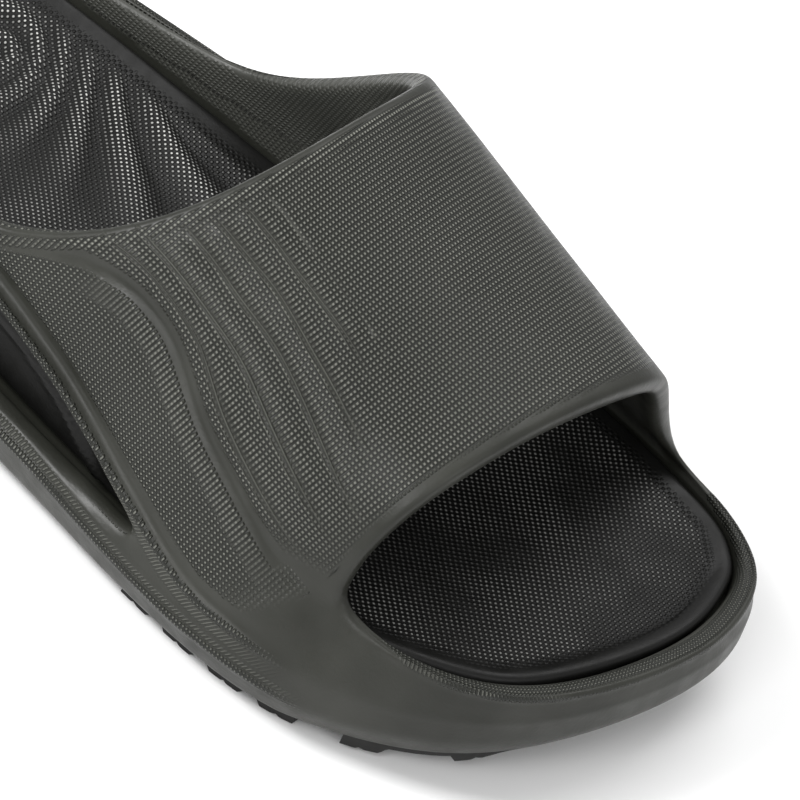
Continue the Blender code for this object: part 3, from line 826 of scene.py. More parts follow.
class Skin:  # a mesh's points, with what its moulded lines are measured from
    def __init__(self, mesh):
        self.points, self.normals = readPoints(mesh)
        self.outside = smoothStep(*textures["outside"], readFloat(mesh, "outside"))
        faces = [tuple(face.vertices) for face in mesh.polygons]
        self.tree = BVHTree.FromPolygons([tuple(point) for point in self.points], faces)
        self.y, self.z = self.points[:, 1].copy(), self.points[:, 2].copy()
        self.along = self.y / shoe["length"]
        self.height = self.z / shoe["instepHeight"]
        self.outer = self.points[:, 0] > 0
        self.lift = np.zeros(len(self.points))

    def wayFrom(self, line, reach):
        return acrossCurve(self.points, self.normals, line, searchReach[reach])

    def filled(self, value):
        return np.full(len(self.points), float(value))


def mouldRipples(skin):  # on the band's outer side, each with a gentle lower side and a steep upper one
    phase = skin.filled(-1)
    rippleFade = skin.filled(0)
    ways = []
    for rows, high in zip(ripples["lines"], ripples["heights"]):
        signed, share = skin.wayFrom(sideLine(skin.tree, rows), "ripple")
        signed = filledSigns(signed, skin.z > sideHeight(rows, skin.y))
        ways.append(signed)
        width = np.where(signed > 0, ripples["upperWidth"], ripples["lowerWidth"])
        fade = fadeEnds(share, *ripples["ends"]) * skin.outer
        skin.lift += high * np.exp(-np.abs(signed) / width) * fade
        rippleFade = np.maximum(rippleFade, smoothStep(*ripples["reach"], np.abs(signed)) * fade)
    for n, way in enumerate(ways):
        nextWay = ways[n + 1] if n + 1 < len(ways) else way - ripples["spacing"]
        gone = np.maximum(way, 0)
        ahead = np.maximum(-nextWay, 0)
        phase = np.where(way > 0, n + np.minimum(gone / (gone + ahead + 1e-6), 1), phase)
    phase = np.where(ways[0] <= 0, ways[0] / ripples["spacing"], phase)
    return rippleFade, phase


def mouldGroove(skin):  # a smooth groove, then a striated strip that ends in a small step
    groove, share = skin.wayFrom(sideLine(skin.tree, ripples["groove"]), "groove")
    groove = filledSigns(groove, skin.z > sideHeight(ripples["groove"], skin.y))
    groove = np.where(skin.outer & (skin.outside > 0.1), groove, farAway)
    grooveFade = fadeEnds(share, *ripples["grooveEnds"]) * skin.outer
    stripFade = smoothStep(*ripples["stripStart"], share) * grooveFade
    start = ripples["grooveStart"]
    sunk = bell(groove, 0, ripples["grooveWidth"]) * grooveFade * (start + (1 - start) * stripFade)
    skin.lift -= ripples["grooveDepth"] * sunk
    strip = smoothStep(*ripples["stripFarEdge"], groove) * (1 - smoothStep(*ripples["stripNearEdge"], groove))
    skin.lift += ripples["stripStep"] * strip * stripFade
    return groove, grooveFade, stripFade


def mouldWallLines(skin):  # the ridge over the window and the line under it, on both sides
    ways = {name: skin.filled(farAway) for name in shell["lineRows"]}
    fades = {name: skin.filled(0) for name in shell["lineRows"]}
    for side, mine in ((lateral, skin.outer), (medial, ~skin.outer)):
        for name, row in shell["lineRows"].items():
            signed = skin.wayFrom(wallLine(skin.tree, side, row), name)[0]
            over = skin.z - heightOf(name, side, skin.y)
            signed = filledSigns(-signed if side == medial else signed, over > 0)
            signed = np.where(np.abs(over) > wallLines["sideReach"], np.copysign(signed, over), signed)
            ways[name] = np.where(mine, signed, ways[name])
            fades[name] = np.where(mine, 1 - smoothStep(*wallLines[name + "End"], skin.along), fades[name])
    depth = reliefDepth(skin.along)
    ridge, low = ways["ridge"], ways["low"]
    for name, way in ways.items():
        raised = bell(way, wallLines[name + "Place"], wallLines[name + "Width"], 3)
        skin.lift += wallLines[name + "Height"] * raised * fades[name]
    hollow = bell(ridge, wallLines["hollowPlace"], wallLines["hollowWidth"]) * fades["ridge"] * depth
    fineLine = bell(low, wallLines["linePlace"], wallLines["lineWidth"]) * fades["low"] * depth
    skin.lift += wallLines["lineHeight"] * fineLine - wallLines["hollowDepth"] * hollow
    return ridge, low, fades["ridge"], fades["low"]


def mouldLips(skin):  # along the band's two edges and round the rim
    frontWay = np.abs(skin.wayFrom(bandEdge(skin.tree, 1), "frontEdge")[0])
    edge = np.minimum(farAway, np.abs(skin.wayFrom(bandEdge(skin.tree, 0), "rearEdge")[0]))
    toeRim = skin.filled(farAway)
    for side in (lateral, medial):
        front = shell["bandFront"][side] + wallLines["lipStart"]
        signed, share = skin.wayFrom(rimLine(skin.tree, side, front, toePlace), "lip")
        fade = fadeEnds(share, wallLines["lipFade"], 0)
        skin.lift += wallLines["lipHeight"] * bell(signed, 0, wallLines["lipWidth"]) * fade * skin.outside
        signed, share = skin.wayFrom(lipLine(skin.tree, side, front, toePlace), "lip")
        gone = 1 - fadeEnds(share, wallLines["lipFade"], 0)
        toeRim = np.minimum(toeRim, np.abs(signed) + wallLines["lipFadeWay"] * gone)
        signed = skin.wayFrom(rimLine(skin.tree, side, 0, shell["bandRear"]), "rearEdge")[0]
        edge = np.minimum(edge, np.abs(signed))
    return frontWay, edge, toeRim


def mouldShell(mesh):
    skin = Skin(mesh)
    rippleFade, phase = mouldRipples(skin)
    groove, grooveFade, stripFade = mouldGroove(skin)
    ridge, low, ridgeFade, lowFade = mouldWallLines(skin)
    frontWay, edge, toeRim = mouldLips(skin)
    skin.points += skin.normals * (skin.lift * skin.outside)[:, None]

    # Where each texture lies
    along, height, outside = skin.along, skin.height, skin.outside
    medialSide = smoothStep(*textures["medialSide"], skin.points[:, 0] / shoe["ballWidth"])
    lowWall = smoothStep(*textures["lowWall"], height)
    slant = textures["toeSlant"] * np.maximum(0, textures["toeSlantHeight"] - height)
    toeFade = 1 - lowWall * smoothStep(*textures["toe"], along + slant)
    bare = smoothStep(*textures["frontEdge"], frontWay) * (1 - smoothStep(*textures["bandEnd"], along))
    upper = smoothStep(*textures["cellsHeight"], height) * (along > textures["cellsStart"])
    cells = outside * bare * upper * (1 - textures["medialCells"] * medialSide) * toeFade
    overBed = skin.z > bedEdge(skin.y) - textures["bedOverlap"]
    within = (1 - outside) * overBed * smoothStep(*textures["innerEdge"], frontWay)
    innerFade = 1 - smoothStep(*textures["innerEnd"], along)
    cells = np.maximum(cells, textures["innerCells"] * within * innerFade)
    heelFade = smoothStep(*textures["heel"], along)
    dots = outside * heelFade * toeFade * (1 - textures["medialDots"] * medialSide)
    dots *= along < textures["dotsEnd"]
    onFace = smoothStep(*textures["face"], outside)
    writeMasks(mesh, "zones", (cells, dots, rippleFade * outside, phase))
    writeMasks(mesh, "lines", (ridge, low, groove, edge))
    writeMasks(mesh, "fades", (ridgeFade * onFace, lowFade * onFace, grooveFade * toeFade, outside))
    # within marks the wall's inner face above the footbed, which gets fewer cells and painted light in the material
    writeMasks(mesh, "rims", (toeRim, stripFade * toeFade, within))
    writePlaces(mesh, "grid", unrolled(skin.tree, skin.points))
    writePlaces(mesh, "rim", aroundRim(skin.points))
    writePoints(mesh, skin.points)


# The footbed insert.
bed = {
    "clearance": 0.8,
    "beadWidth": 4.0,
    "beadDrop": 0.9,
    "sideHollow": 1.2,
    "roundness": 0.6,
    "heelDepth": 4.5,
    "ballDepth": 1.8,
    "heelPlaces": (0, 0.5, 1, 1.5, 2, 2.5, 3, 3.5, 4, 4.4, 4.75, 5.2, 5.6, 6, 6.4, 6.7),
    "shares": (0, 0.1, 0.2, 0.3, 0.4, 0.5, 0.6, 0.7, 0.8, 0.9, 1),
    "toeShares": (0.12, 0.25, 0.38, 0.5, 0.62, 0.75, 0.88, 1),
    "topShares": (0.08, 0.17, 0.28, 0.39, 0.5, 0.61, 0.72, 0.83, 0.92),
    "subdivisions": 3,
    "ringCentres": ((-13.1, -36.2, 0.9), (-72.3, -1.7, 0.5)),
    "ringAcross": (-2.98, 3.94),
    "ringAlong": (2.07, 3.07),
    "ringStep": 0.153,
    "ringStart": 6.265,
    "ringHeight": 0.80,
    "ringCrest": 0.62,
    "ringEnd": (8.0, 34.0),
    "quietShare": 0.7,
    "quietAcross": (-14.0, 10.0),
    "quietAlong": (-75.0, -45.0),
    "ringWobble": 0.08,
    "waveHeight": 0.20,
    "facingUp": (0.6, 0.85),
    "sideFacing": 0.5,
    "topLevel": 14.0,
    "reliefInset": (6.5, 13.0),
    "dotsInset": (4.2, 8.0),
    "heelDotsInset": (1.2, 1.5),
    "lineHeight": 0.5,
    "lineWidth": 0.8,
    "undercutDepth": 0.9,
    "undercutStart": 1.5,
    "undercutEnd": (5.0, 2.5),
    "outerRise": 2.9,
    "outerRisePlace": 6.0,
    "outerRiseReach": 18.0,
}
bedSide = ((0.5, 0, 0, 0), (0.1, 0, 0, 0.12), (0, 1, 0, 0.45), (0, 0, 0, 0.86), (0, 0, 0.4, 1))
dishRows = (
    (-0.50, 0.30, 0.00),
    (-0.36, 1.00, 0.00),
    (-0.20, 0.75, 0.00),
    (0.02, 0.18, 0.25),
    (0.27, 0.00, 1.00),
    (0.42, 0.00, 0.60),
    (0.50, 0.00, 0.20),
)
bedLineRows = (
    (-0.50, 0.280),
    (-0.20, 0.310),
    (-0.02, 0.320),
    (0.035, 0.305),
    (0.09, 0.250),
    (0.16, 0.140),
    (0.50, 0.140),
)
bedLine = through(*zip(*bedLineRows))
heelDish = through(*zip(*((along, heel) for along, heel, _ in dishRows)))
ballDish = through(*zip(*((along, ball) for along, _, ball in dishRows)))


def bedRows(side, place):  # the insert's side from its bottom to the inside of its bead
    y = outlineAt(side, place)[0][1]
    bottom = shellBottom(y) + shell["cupFloor"] + bed["clearance"]
    edge = bedEdge(y)
    if side == lateral:  # closes the view over the insert through the outer window
        edge += bed["outerRise"] * bell(y, bed["outerRisePlace"], bed["outerRiseReach"])
    inset = leanOf("wall", side, y) + bed["clearance"]
    hollow = bed["sideHollow"] * reliefDepth(y / shoe["length"])
    rows = []
    for rimWalls, hollows, bead, rise in bedSide:
        deep = rimWalls * shell["rimWall"] + hollows * hollow + bead * bed["beadWidth"]
        rows.append((inset + deep, bottom + rise * (edge - bottom)))
    return [*rows, (inset + bed["beadWidth"], edge - bed["beadDrop"])]


def bedSurface(point, share):
    x, y, z = point
    along = y / shoe["length"]
    deep = heelDish(along) * bed["heelDepth"] + ballDish(along) * bed["ballDepth"]
    return np.array((x, y, z - deep * (4 * share * (1 - share)) ** bed["roundness"]))


def footbedMesh():
    cage = Cage()
    places = placesAlong(bed, bed["shares"])
    last = len(places[lateral]) - 1
    rows = len(bedRows(lateral, 0))

    def key(side, j, row):
        return (lateral if j in (0, last) else side, j, row)

    for side in (lateral, medial):
        for j, place in enumerate(places[side]):
            if side == medial and j in (0, last):
                continue
            for row, (inset, z) in enumerate(bedRows(side, place)):
                cage.add(key(side, j, row), placed(side, place, inset, z))
    for side in (lateral, medial):
        for j in range(last):
            for row in range(rows - 1):
                corners = ((j, row), (j + 1, row), (j + 1, row + 1), (j, row + 1))
                cage.face(*(key(side, *corner) for corner in corners))
    fillAcross(cage, lambda side, j: key(side, j, 0), last, shell["floorShares"], flatSurface)
    fillAcross(cage, lambda side, j: key(side, j, rows - 1), last, bed["topShares"], bedSurface)
    return cage.smoothMesh("footbed insert", bed["subdivisions"])


def ringField(x, y):  # rises by one from ring to ring, between two centres that the rings bend round
    ways = []
    for centreX, centreY, squash in bed["ringCentres"]:
        px, py = x - centreX, y - centreY
        across = bed["ringAcross"][0] * px + bed["ringAcross"][1] * py
        along = bed["ringAlong"][0] * px + bed["ringAlong"][1] * py
        ways.append(np.hypot(across, along / squash))
    wobble = bed["ringWobble"] * np.sin(x / 9 + 0.6) * np.sin(y / 15)
    return (ways[0] - ways[1]) / (ways[0] + ways[1]) / bed["ringStep"] + bed["ringStart"] + wobble


def wayFromWall(points):  # seen from above, how far each point lies in from the wall's inner face
    edge = []
    for side in (lateral, medial):
        for place in np.linspace(0, toePlace, 240):
            inset = leanOf("wall", side, outlineAt(side, place)[0][1])
            edge.append(placed(side, place, inset, 0)[:2])
    edge = np.array(edge)
    way = np.empty(len(points))
    for part in blocks(np.arange(len(points))):
        way[part] = np.sqrt(((points[part, None, :2] - edge[None]) ** 2).sum(2)).min(1)
    return way


def mouldFootbed(mesh):
    points, normals = readPoints(mesh)
    x, y, z = points.T
    upward = smoothStep(*bed["facingUp"], normals[:, 2]) * (z > bed["topLevel"])
    way = wayFromWall(points)
    inside = smoothStep(*bed["reliefInset"], way) * upward

    # Rings with a slow rise and a faster fall, then low waves ahead of them
    field = ringField(x, y)
    phase = field - np.floor(field)
    crest = bed["ringCrest"]
    ring = smoothStep(0, 1, np.where(phase < crest, phase / crest, (1 - phase) / (1 - crest)))
    heel = 1 - smoothStep(*bed["ringEnd"], y)
    heel *= 1 - bed["quietShare"] * smoothStep(*bed["quietAcross"], x) * smoothStep(*bed["quietAlong"], y)
    waves = np.sin(field * 2.6 + 0.05 * x) * np.cos(x / 17 - y / 40)
    lift = bed["ringHeight"] * (ring - 0.5) * 2 * heel + bed["waveHeight"] * waves * (1 - heel)
    points += normals * (lift * inside)[:, None]
    dotsFrom, dotsWhole = (
        start + more * heel for start, more in zip(bed["dotsInset"], bed["heelDotsInset"])
    )
    dots = smoothStep(dotsFrom, dotsWhole, way) * upward

    # A fine line along the side, with an undercut between it and the bead
    line = bedLine(y / shoe["length"]) * shoe["instepHeight"]
    side = (1 - upward) * reliefDepth(y / shoe["length"]) * (np.abs(normals[:, 2]) < bed["sideFacing"])
    ridge = bell(z, line, bed["lineWidth"]) * side
    beadStart, beadEnd = (bedEdge(y) - drop for drop in bed["undercutEnd"])
    undercut = smoothStep(line, line + bed["undercutStart"], z) * (1 - smoothStep(beadStart, beadEnd, z))
    points += normals * (bed["lineHeight"] * ridge - bed["undercutDepth"] * undercut * side)[:, None]
    # The second mask, the ring crests at the heel, sets where the painted highlight on the dots is stronger
    writeMasks(mesh, "zones", (dots, ring * heel * inside, heel * inside))
    writePlaces(mesh, "grid", points[:, (1, 0)])
    writePoints(mesh, points)


# Rubber tread plates with zigzag bars.
tread = {
    "barPitch": 11.0,
    "barShare": 0.62,
    "barDepth": 1.5,
    "barSlope": 1.1,
    "zigzagDepth": 1.8,
    "zigzagRuns": 6,
    "inset": 5.6,
    "frontBend": 5.5,
    "channelDepth": 0.45,
    "channelWidth": 0.7,
    "sharpAngle": 0.6,
    "step": 0.55,
    "columns": 61,
    "pads": (("heel_pad", -0.482, -0.20), ("forefoot_pad", 0.195, 0.335), ("toe_pad", 0.365, 0.457)),
}


def halfWidths(y):
    places = np.linspace(0, toePlace, 200)
    reach = []
    for side in (lateral, medial):
        points = np.array([outlineAt(side, place)[0] for place in places])
        reach.append(np.interp(y, points[:, 1], points[:, 0]))
    return reach


def padMesh(name, start, end):
    start, end = start * shoe["length"], end * shoe["length"]
    bars = max(1, round((end - start) / tread["barPitch"]))
    bar = tread["barShare"] * tread["barPitch"]
    pitch = (end - start - bar) / max(1, bars - 1)
    slope = tread["barSlope"]
    stations = np.arange(0, end - start + 1e-6, tread["step"])
    stations[-1] = end - start
    across = np.linspace(0, 1, tread["columns"])
    lateralX, medialX = halfWidths(start + stations)
    lateralX = lateralX - tread["inset"]
    medialX = medialX + tread["inset"]
    x = medialX[:, None] + (lateralX - medialX)[:, None] * across
    runs = across * tread["zigzagRuns"]
    wave = tread["zigzagDepth"] * (0.5 - 0.5 * np.cos(math.pi * runs))
    bend = tread["frontBend"] * (2 * across - 1) ** 2 * (stations[:, None] / stations[-1]) ** 2
    y = start + stations[:, None] + wave - bend * (name == "toe_pad")
    into = np.mod(stations, pitch)
    depth = np.interp(into, (0, bar, bar + slope, pitch - slope, pitch), (0, 0, 1, 1, 0)) * tread["barDepth"]
    depth[stations > (bars - 1) * pitch] = 0
    # A fine channel along the middle of each bar
    middle = np.abs(into - bar / 2)
    depth += tread["channelDepth"] * np.clip(1 - middle / tread["channelWidth"], 0, 1) * (into < bar)
    lift = soleLift(y)
    under = np.stack((x, y, lift + depth[:, None]), 2)
    upper = np.stack((x, y, lift + shoe["treadThickness"]), 2)
    rows, columns = x.shape
    points = np.concatenate((under.reshape(-1, 3), upper.reshape(-1, 3)))
    shift = rows * columns
    faces = []
    for i in range(rows - 1):
        for n in range(columns - 1):
            a = i * columns + n
            quad = (a, a + 1, a + columns + 1, a + columns)
            faces.append(quad[::-1])
            faces.append(tuple(corner + shift for corner in quad))
    ring = [*range(columns), *(columns * i + columns - 1 for i in range(1, rows))]
    ring += range(rows * columns - 2, (rows - 1) * columns - 1, -1)
    ring += (columns * i for i in range(rows - 2, 0, -1))
    for a, b in zip(ring, [*ring[1:], ring[0]]):
        faces.append((a, b, b + shift, a + shift))
    mesh = bpy.data.meshes.new(name.replace("_", " "))
    mesh.from_pydata([tuple(point) for point in points], [], faces)
    mesh.shade_smooth()
    mesh.set_sharp_from_angle(angle=tread["sharpAngle"])
    writePoints(mesh, points)
    return mesh


# Materials
def newGroup(name, inputs, outputs):
    group = bpy.data.node_groups.new(name, "ShaderNodeTree")
    kinds = {"value": "NodeSocketFloat", "colour": "NodeSocketColor", "vector": "NodeSocketVector"}
    for label, kind, default in inputs:
        socket = group.interface.new_socket(label, in_out="INPUT", socket_type=kinds[kind])
        socket.default_value = default
    for label, kind in outputs:
        group.interface.new_socket(label, in_out="OUTPUT", socket_type=kinds[kind])
    return group, group.nodes.new("NodeGroupInput"), group.nodes.new("NodeGroupOutput")


def link(tree, source, target):
    if isinstance(source, (int, float, tuple)):
        target.default_value = source
    else:
        tree.links.new(source, target)


def maths(tree, operation, *values, clamp=False):
    node = tree.nodes.new("ShaderNodeMath")
    node.operation = operation
    node.use_clamp = clamp
    for value, socket in zip(values, node.inputs):
        link(tree, value, socket)
    return node.outputs[0]


def softRange(tree, value, low, high, start=0.0, end=1.0):
    node = tree.nodes.new("ShaderNodeMapRange")
    node.interpolation_type = "SMOOTHSTEP"
    for socket, given in zip(node.inputs, (value, low, high, start, end)):
        link(tree, given, socket)
    return node.outputs[0]


def mixColour(tree, share, first, second, blend="MIX"):
    node = tree.nodes.new("ShaderNodeMix")
    node.data_type = "RGBA"
    node.blend_type = blend
    link(tree, share, node.inputs["Factor"])
    link(tree, first, node.inputs[6])
    link(tree, second, node.inputs[7])
    return node.outputs[2]


def wave(tree, value, pitch, shift=0.0):  # from -1 to 1, once in each pitch
    turns = maths(tree, "DIVIDE", value, pitch)
    return maths(tree, "COSINE", maths(tree, "MULTIPLY_ADD", turns, 2 * math.pi, shift))


def combined(tree, operation, values):
    total = values[0]
    for value in values[1:]:
        total = maths(tree, operation, total, value)
    return total


def product(tree, *values):
    return combined(tree, "MULTIPLY", values)


def largest(tree, *values):
    return combined(tree, "MAXIMUM", values)


def parted(tree, vector):
    split = tree.nodes.new("ShaderNodeSeparateXYZ")
    tree.links.new(vector, split.inputs[0])
    return tuple(split.outputs)


def bandBetween(tree, value, low, high, soft):  # 1 between two values, with soft ends
    rise = softRange(tree, value, low - soft, low + soft)
    fall = softRange(tree, value, high - soft, high + soft, 1.0, 0.0)
    return maths(tree, "MULTIPLY", rise, fall)


# Heights on the waves of the grid where each form starts and is whole
gridForms = {
    "cells": (-0.9, 0.5),
    "dots": (-0.3, 1.6),
    "barsAlong": (-0.7, 0.6),
    "barsAround": (-1.0, 0.4, 0.55, 1.0),
}


def mouldedGridGroup():  # square cells, dots and bars, at places given in millimetres
    group, given, out = newGroup(
        "moulded grid",
        [("Place", "vector", (0, 0, 0)), ("Pitch", "value", 1.1), ("Cells", "value", 0.0),
         ("Dots", "value", 0.0), ("Bars", "value", 0.0)],
        [("Height", "value")],
    )
    waves = [wave(group, way, given.outputs["Pitch"]) for way in parted(group, given.outputs["Place"])[:2]]
    forms = {"Cells": product(group, *(softRange(group, each, *gridForms["cells"]) for each in waves))}
    forms["Dots"] = softRange(group, maths(group, "ADD", *waves), *gridForms["dots"])
    barsAlong = softRange(group, waves[0], *gridForms["barsAlong"])
    forms["Bars"] = product(group, barsAlong, softRange(group, waves[1], *gridForms["barsAround"]))
    total = 0.0
    for name, form in forms.items():
        total = maths(group, "MULTIPLY_ADD", form, given.outputs[name], total)
    group.links.new(total, out.inputs["Height"])
    return group


# Zones of the shell's textures: the way each is measured by, its start and end, and how soft they are
zoneBands = {
    "rippleBars": ("phase", 0.24, 0.52, 0.12),
    "ripplePlain": ("phase", -0.1, 0.5, 0.14),
    "underCrest": ("phase", 0.945, 0.985, 0.022),
    "overCrest": ("phase", 0.10, 0.14, 0.03),
    "groove": ("groove", -1.9, 1.6, 0.35),
    "strip": ("groove", -6.2, -2.1, 0.25),
    "collar": ("edge", 0.9, 2.8, 0.25),
    "ridge": ("ridge", -0.6, 0.9, 0.2),
    "low": ("low", 0.0, 1.5, 0.2),
    "underRidge": ("ridge", -3.4, -1.1, 0.3),
    "overLow": ("low", 1.9, 2.9, 0.2),
}
zoneStarts = {
    "aboveGroove": ("groove", 1.2, 1.9),
    "notEdge": ("edge", 0.7, 1.3),
    "overRidge": ("ridge", 4.0, 4.6),
}
zoneEnds = {
    "belowStrip": ("groove", -6.6, -6.2),
    "belowGroove": ("groove", 0.5, 1.5),
    "noStrip": ("strip", 0.0, 0.4),
    "rim": ("rim", 1.1, 1.7),
}
zoneShares = {"plainLess": -0.85, "collar": 0.7}


def shellZonesGroup():  # turns ways from the moulded lines into crisp zones for each texture
    group, given, out = newGroup(
        "shell zones",
        [("Zones", "vector", (0, 0, 0)), ("Phase", "value", 0.0), ("Lines", "vector", (0, 0, 0)),
         ("Edge", "value", 20.0), ("Fades", "vector", (0, 0, 0)), ("Outside", "value", 0.0),
         ("Rim", "value", 20.0), ("Strip", "value", 0.0)],
        [("Cells", "value"), ("Dots", "value"), ("Bars", "value"), ("Beads", "value"),
         ("Slants", "value"), ("Crests", "value")],
    )
    cells, dots, ripple = parted(group, given.outputs["Zones"])
    ridge, low, groove = parted(group, given.outputs["Lines"])
    ridgeFade, lowFade, grooveFade = parted(group, given.outputs["Fades"])
    outside, strip = given.outputs["Outside"], given.outputs["Strip"]
    ways = {"ridge": ridge, "low": low, "groove": groove, "strip": strip}
    ways["edge"], ways["rim"] = given.outputs["Edge"], given.outputs["Rim"]
    ways["phase"] = maths(group, "FRACT", maths(group, "ADD", given.outputs["Phase"], 10.0))
    band = {name: bandBetween(group, ways[way], *ends) for name, (way, *ends) in zoneBands.items()}
    start = {name: softRange(group, ways[way], *ends) for name, (way, *ends) in zoneStarts.items()}
    end = {name: softRange(group, ways[way], *ends, 1.0, 0.0) for name, (way, *ends) in zoneEnds.items()}

    # Between two crests: a smooth steep side, then bars, then cells up to the next crest
    barsHere = product(group, ripple, band["rippleBars"], cells)
    plain = product(group, ripple, band["ripplePlain"])
    cellsHere = maths(group, "MULTIPLY_ADD", plain, zoneShares["plainLess"], 1.0)
    # Thin lines along each crest: raised in the bump and given a painted highlight in the colour
    crestLines = largest(group, band["underCrest"], band["overCrest"])
    notGroove = maths(group, "SUBTRACT", 1.0, product(group, band["groove"], grooveFade))
    unmarked = product(group, end["noStrip"], notGroove, end["belowGroove"])
    dotsHere = largest(group, end["belowStrip"], unmarked)
    inStrip = product(group, band["strip"], strip, start["overRidge"], outside)
    collar = product(group, band["collar"], outside, zoneShares["collar"])
    inRipples = product(group, barsHere, start["aboveGroove"], start["notEdge"])
    onRidge = product(group, band["ridge"], ridgeFade)
    onLow = product(group, band["low"], lowFade)
    underRidge = product(group, band["underRidge"], ridgeFade)
    overLow = product(group, band["overLow"], lowFade)
    outputs = {
        "Cells": product(group, cells, cellsHere, start["aboveGroove"], start["notEdge"], notGroove),
        "Dots": product(group, dots, dotsHere, start["overRidge"], start["notEdge"]),
        "Bars": largest(group, inStrip, inRipples, collar),
        "Beads": largest(group, onRidge, onLow, end["rim"]),
        "Slants": largest(group, underRidge, overLow),
        "Crests": product(group, ripple, crestLines, cells, start["aboveGroove"]),
    }
    for name, value in outputs.items():
        group.links.new(value, out.inputs[name])
    return group


skinNoises = {"Height": (1400, 3), "Tone": (45, 2), "Sheen": (230, 4)}  # scale and detail of each
sheenRange = (0.3, 0.7)


def foamSkinGroup():  # the fine skin of moulded foam: tiny pores and slow changes of tone
    group, given, out = newGroup(
        "foam skin",
        [("Scale", "value", 1.0)],
        [(name, "value") for name in skinNoises],
    )
    place = group.nodes.new("ShaderNodeTexCoord")
    for name, (scale, detail) in skinNoises.items():
        noise = group.nodes.new("ShaderNodeTexNoise")
        group.links.new(place.outputs["Object"], noise.inputs["Vector"])
        group.links.new(maths(group, "MULTIPLY", given.outputs["Scale"], scale), noise.inputs["Scale"])
        noise.inputs["Detail"].default_value = detail
        group.links.new(noise.outputs[0], out.inputs[name])
    return group


groups = {"grid": mouldedGridGroup(), "zones": shellZonesGroup(), "skin": foamSkinGroup()}


def newMaterial(name):
    material = bpy.data.materials.new(name)
    material.use_nodes = True
    return material, material.node_tree, material.node_tree.nodes["Principled BSDF"]


def placeGroup(tree, name, **values):
    node = tree.nodes.new("ShaderNodeGroup")
    node.node_tree = groups[name]
    for label, value in values.items():
        link(tree, value, node.inputs[label])
    return node.outputs


def attribute(tree, name):
    node = tree.nodes.new("ShaderNodeAttribute")
    node.attribute_name = name
    return node.outputs["Vector"], node.outputs["Alpha"]


def mapPlace(tree, name):
    node = tree.nodes.new("ShaderNodeUVMap")
    node.uv_map = name
    return node.outputs[0]


def bump(tree, height, distance, before=None):
    node = tree.nodes.new("ShaderNodeBump")
    node.inputs["Strength"].default_value = 1.0
    node.inputs["Distance"].default_value = distance
    tree.links.new(height, node.inputs["Height"])
    if before is not None:
        tree.links.new(before, node.inputs["Normal"])
    return node.outputs["Normal"]


def finishSurface(tree, shader, finish, skin, colour, relief=None):
    tree.links.new(colour, shader.inputs["Base Color"])
    roughness = softRange(tree, skin["Sheen"], *sheenRange, *finish["roughness"])
    tree.links.new(roughness, shader.inputs["Roughness"])
    shader.inputs["Specular IOR Level"].default_value = finish["specular"]
    normal = bump(tree, skin["Height"], finish["poreDepth"])
    if relief is not None:
        normal = bump(tree, relief, finish["reliefDepth"], normal)
    tree.links.new(normal, shader.inputs["Normal"])


foamFinish = {
    "colour": (0.0158, 0.0164, 0.0128, 1),
    # raised: painted highlight, the pale colour laid on the tops of cells, dots, bars, beads and crest lines
    "raised": (0.192, 0.195, 0.170, 1),
    # hollow: painted shade, the dark colour laid in the hollows between the raised tops
    "hollow": (0.005, 0.006, 0.004, 1),
    # inner: painted light, a paler colour laid on the inner face of the wall above the footbed
    "inner": (0.052, 0.053, 0.047, 1),
    "highlightShare": 0.68,
    "hollowShadeShare": 0.7,
    "innerLightShare": 0.6,
    "toneMiddle": 0.35,
    "toneShare": 0.2,
    "roughness": (0.37, 0.48),
    "specular": 0.32,
    "skinScale": 1.0,
    "poreDepth": 0.00005,
    "reliefDepth": 0.00105,
    "pitch": 1.0,
    "beadPitch": 0.85,
    "beadHeight": 0.8,
    "slantPitch": 0.95,
    "slantEdges": (-0.6, 0.6),
    "slantHeight": 0.4,
}


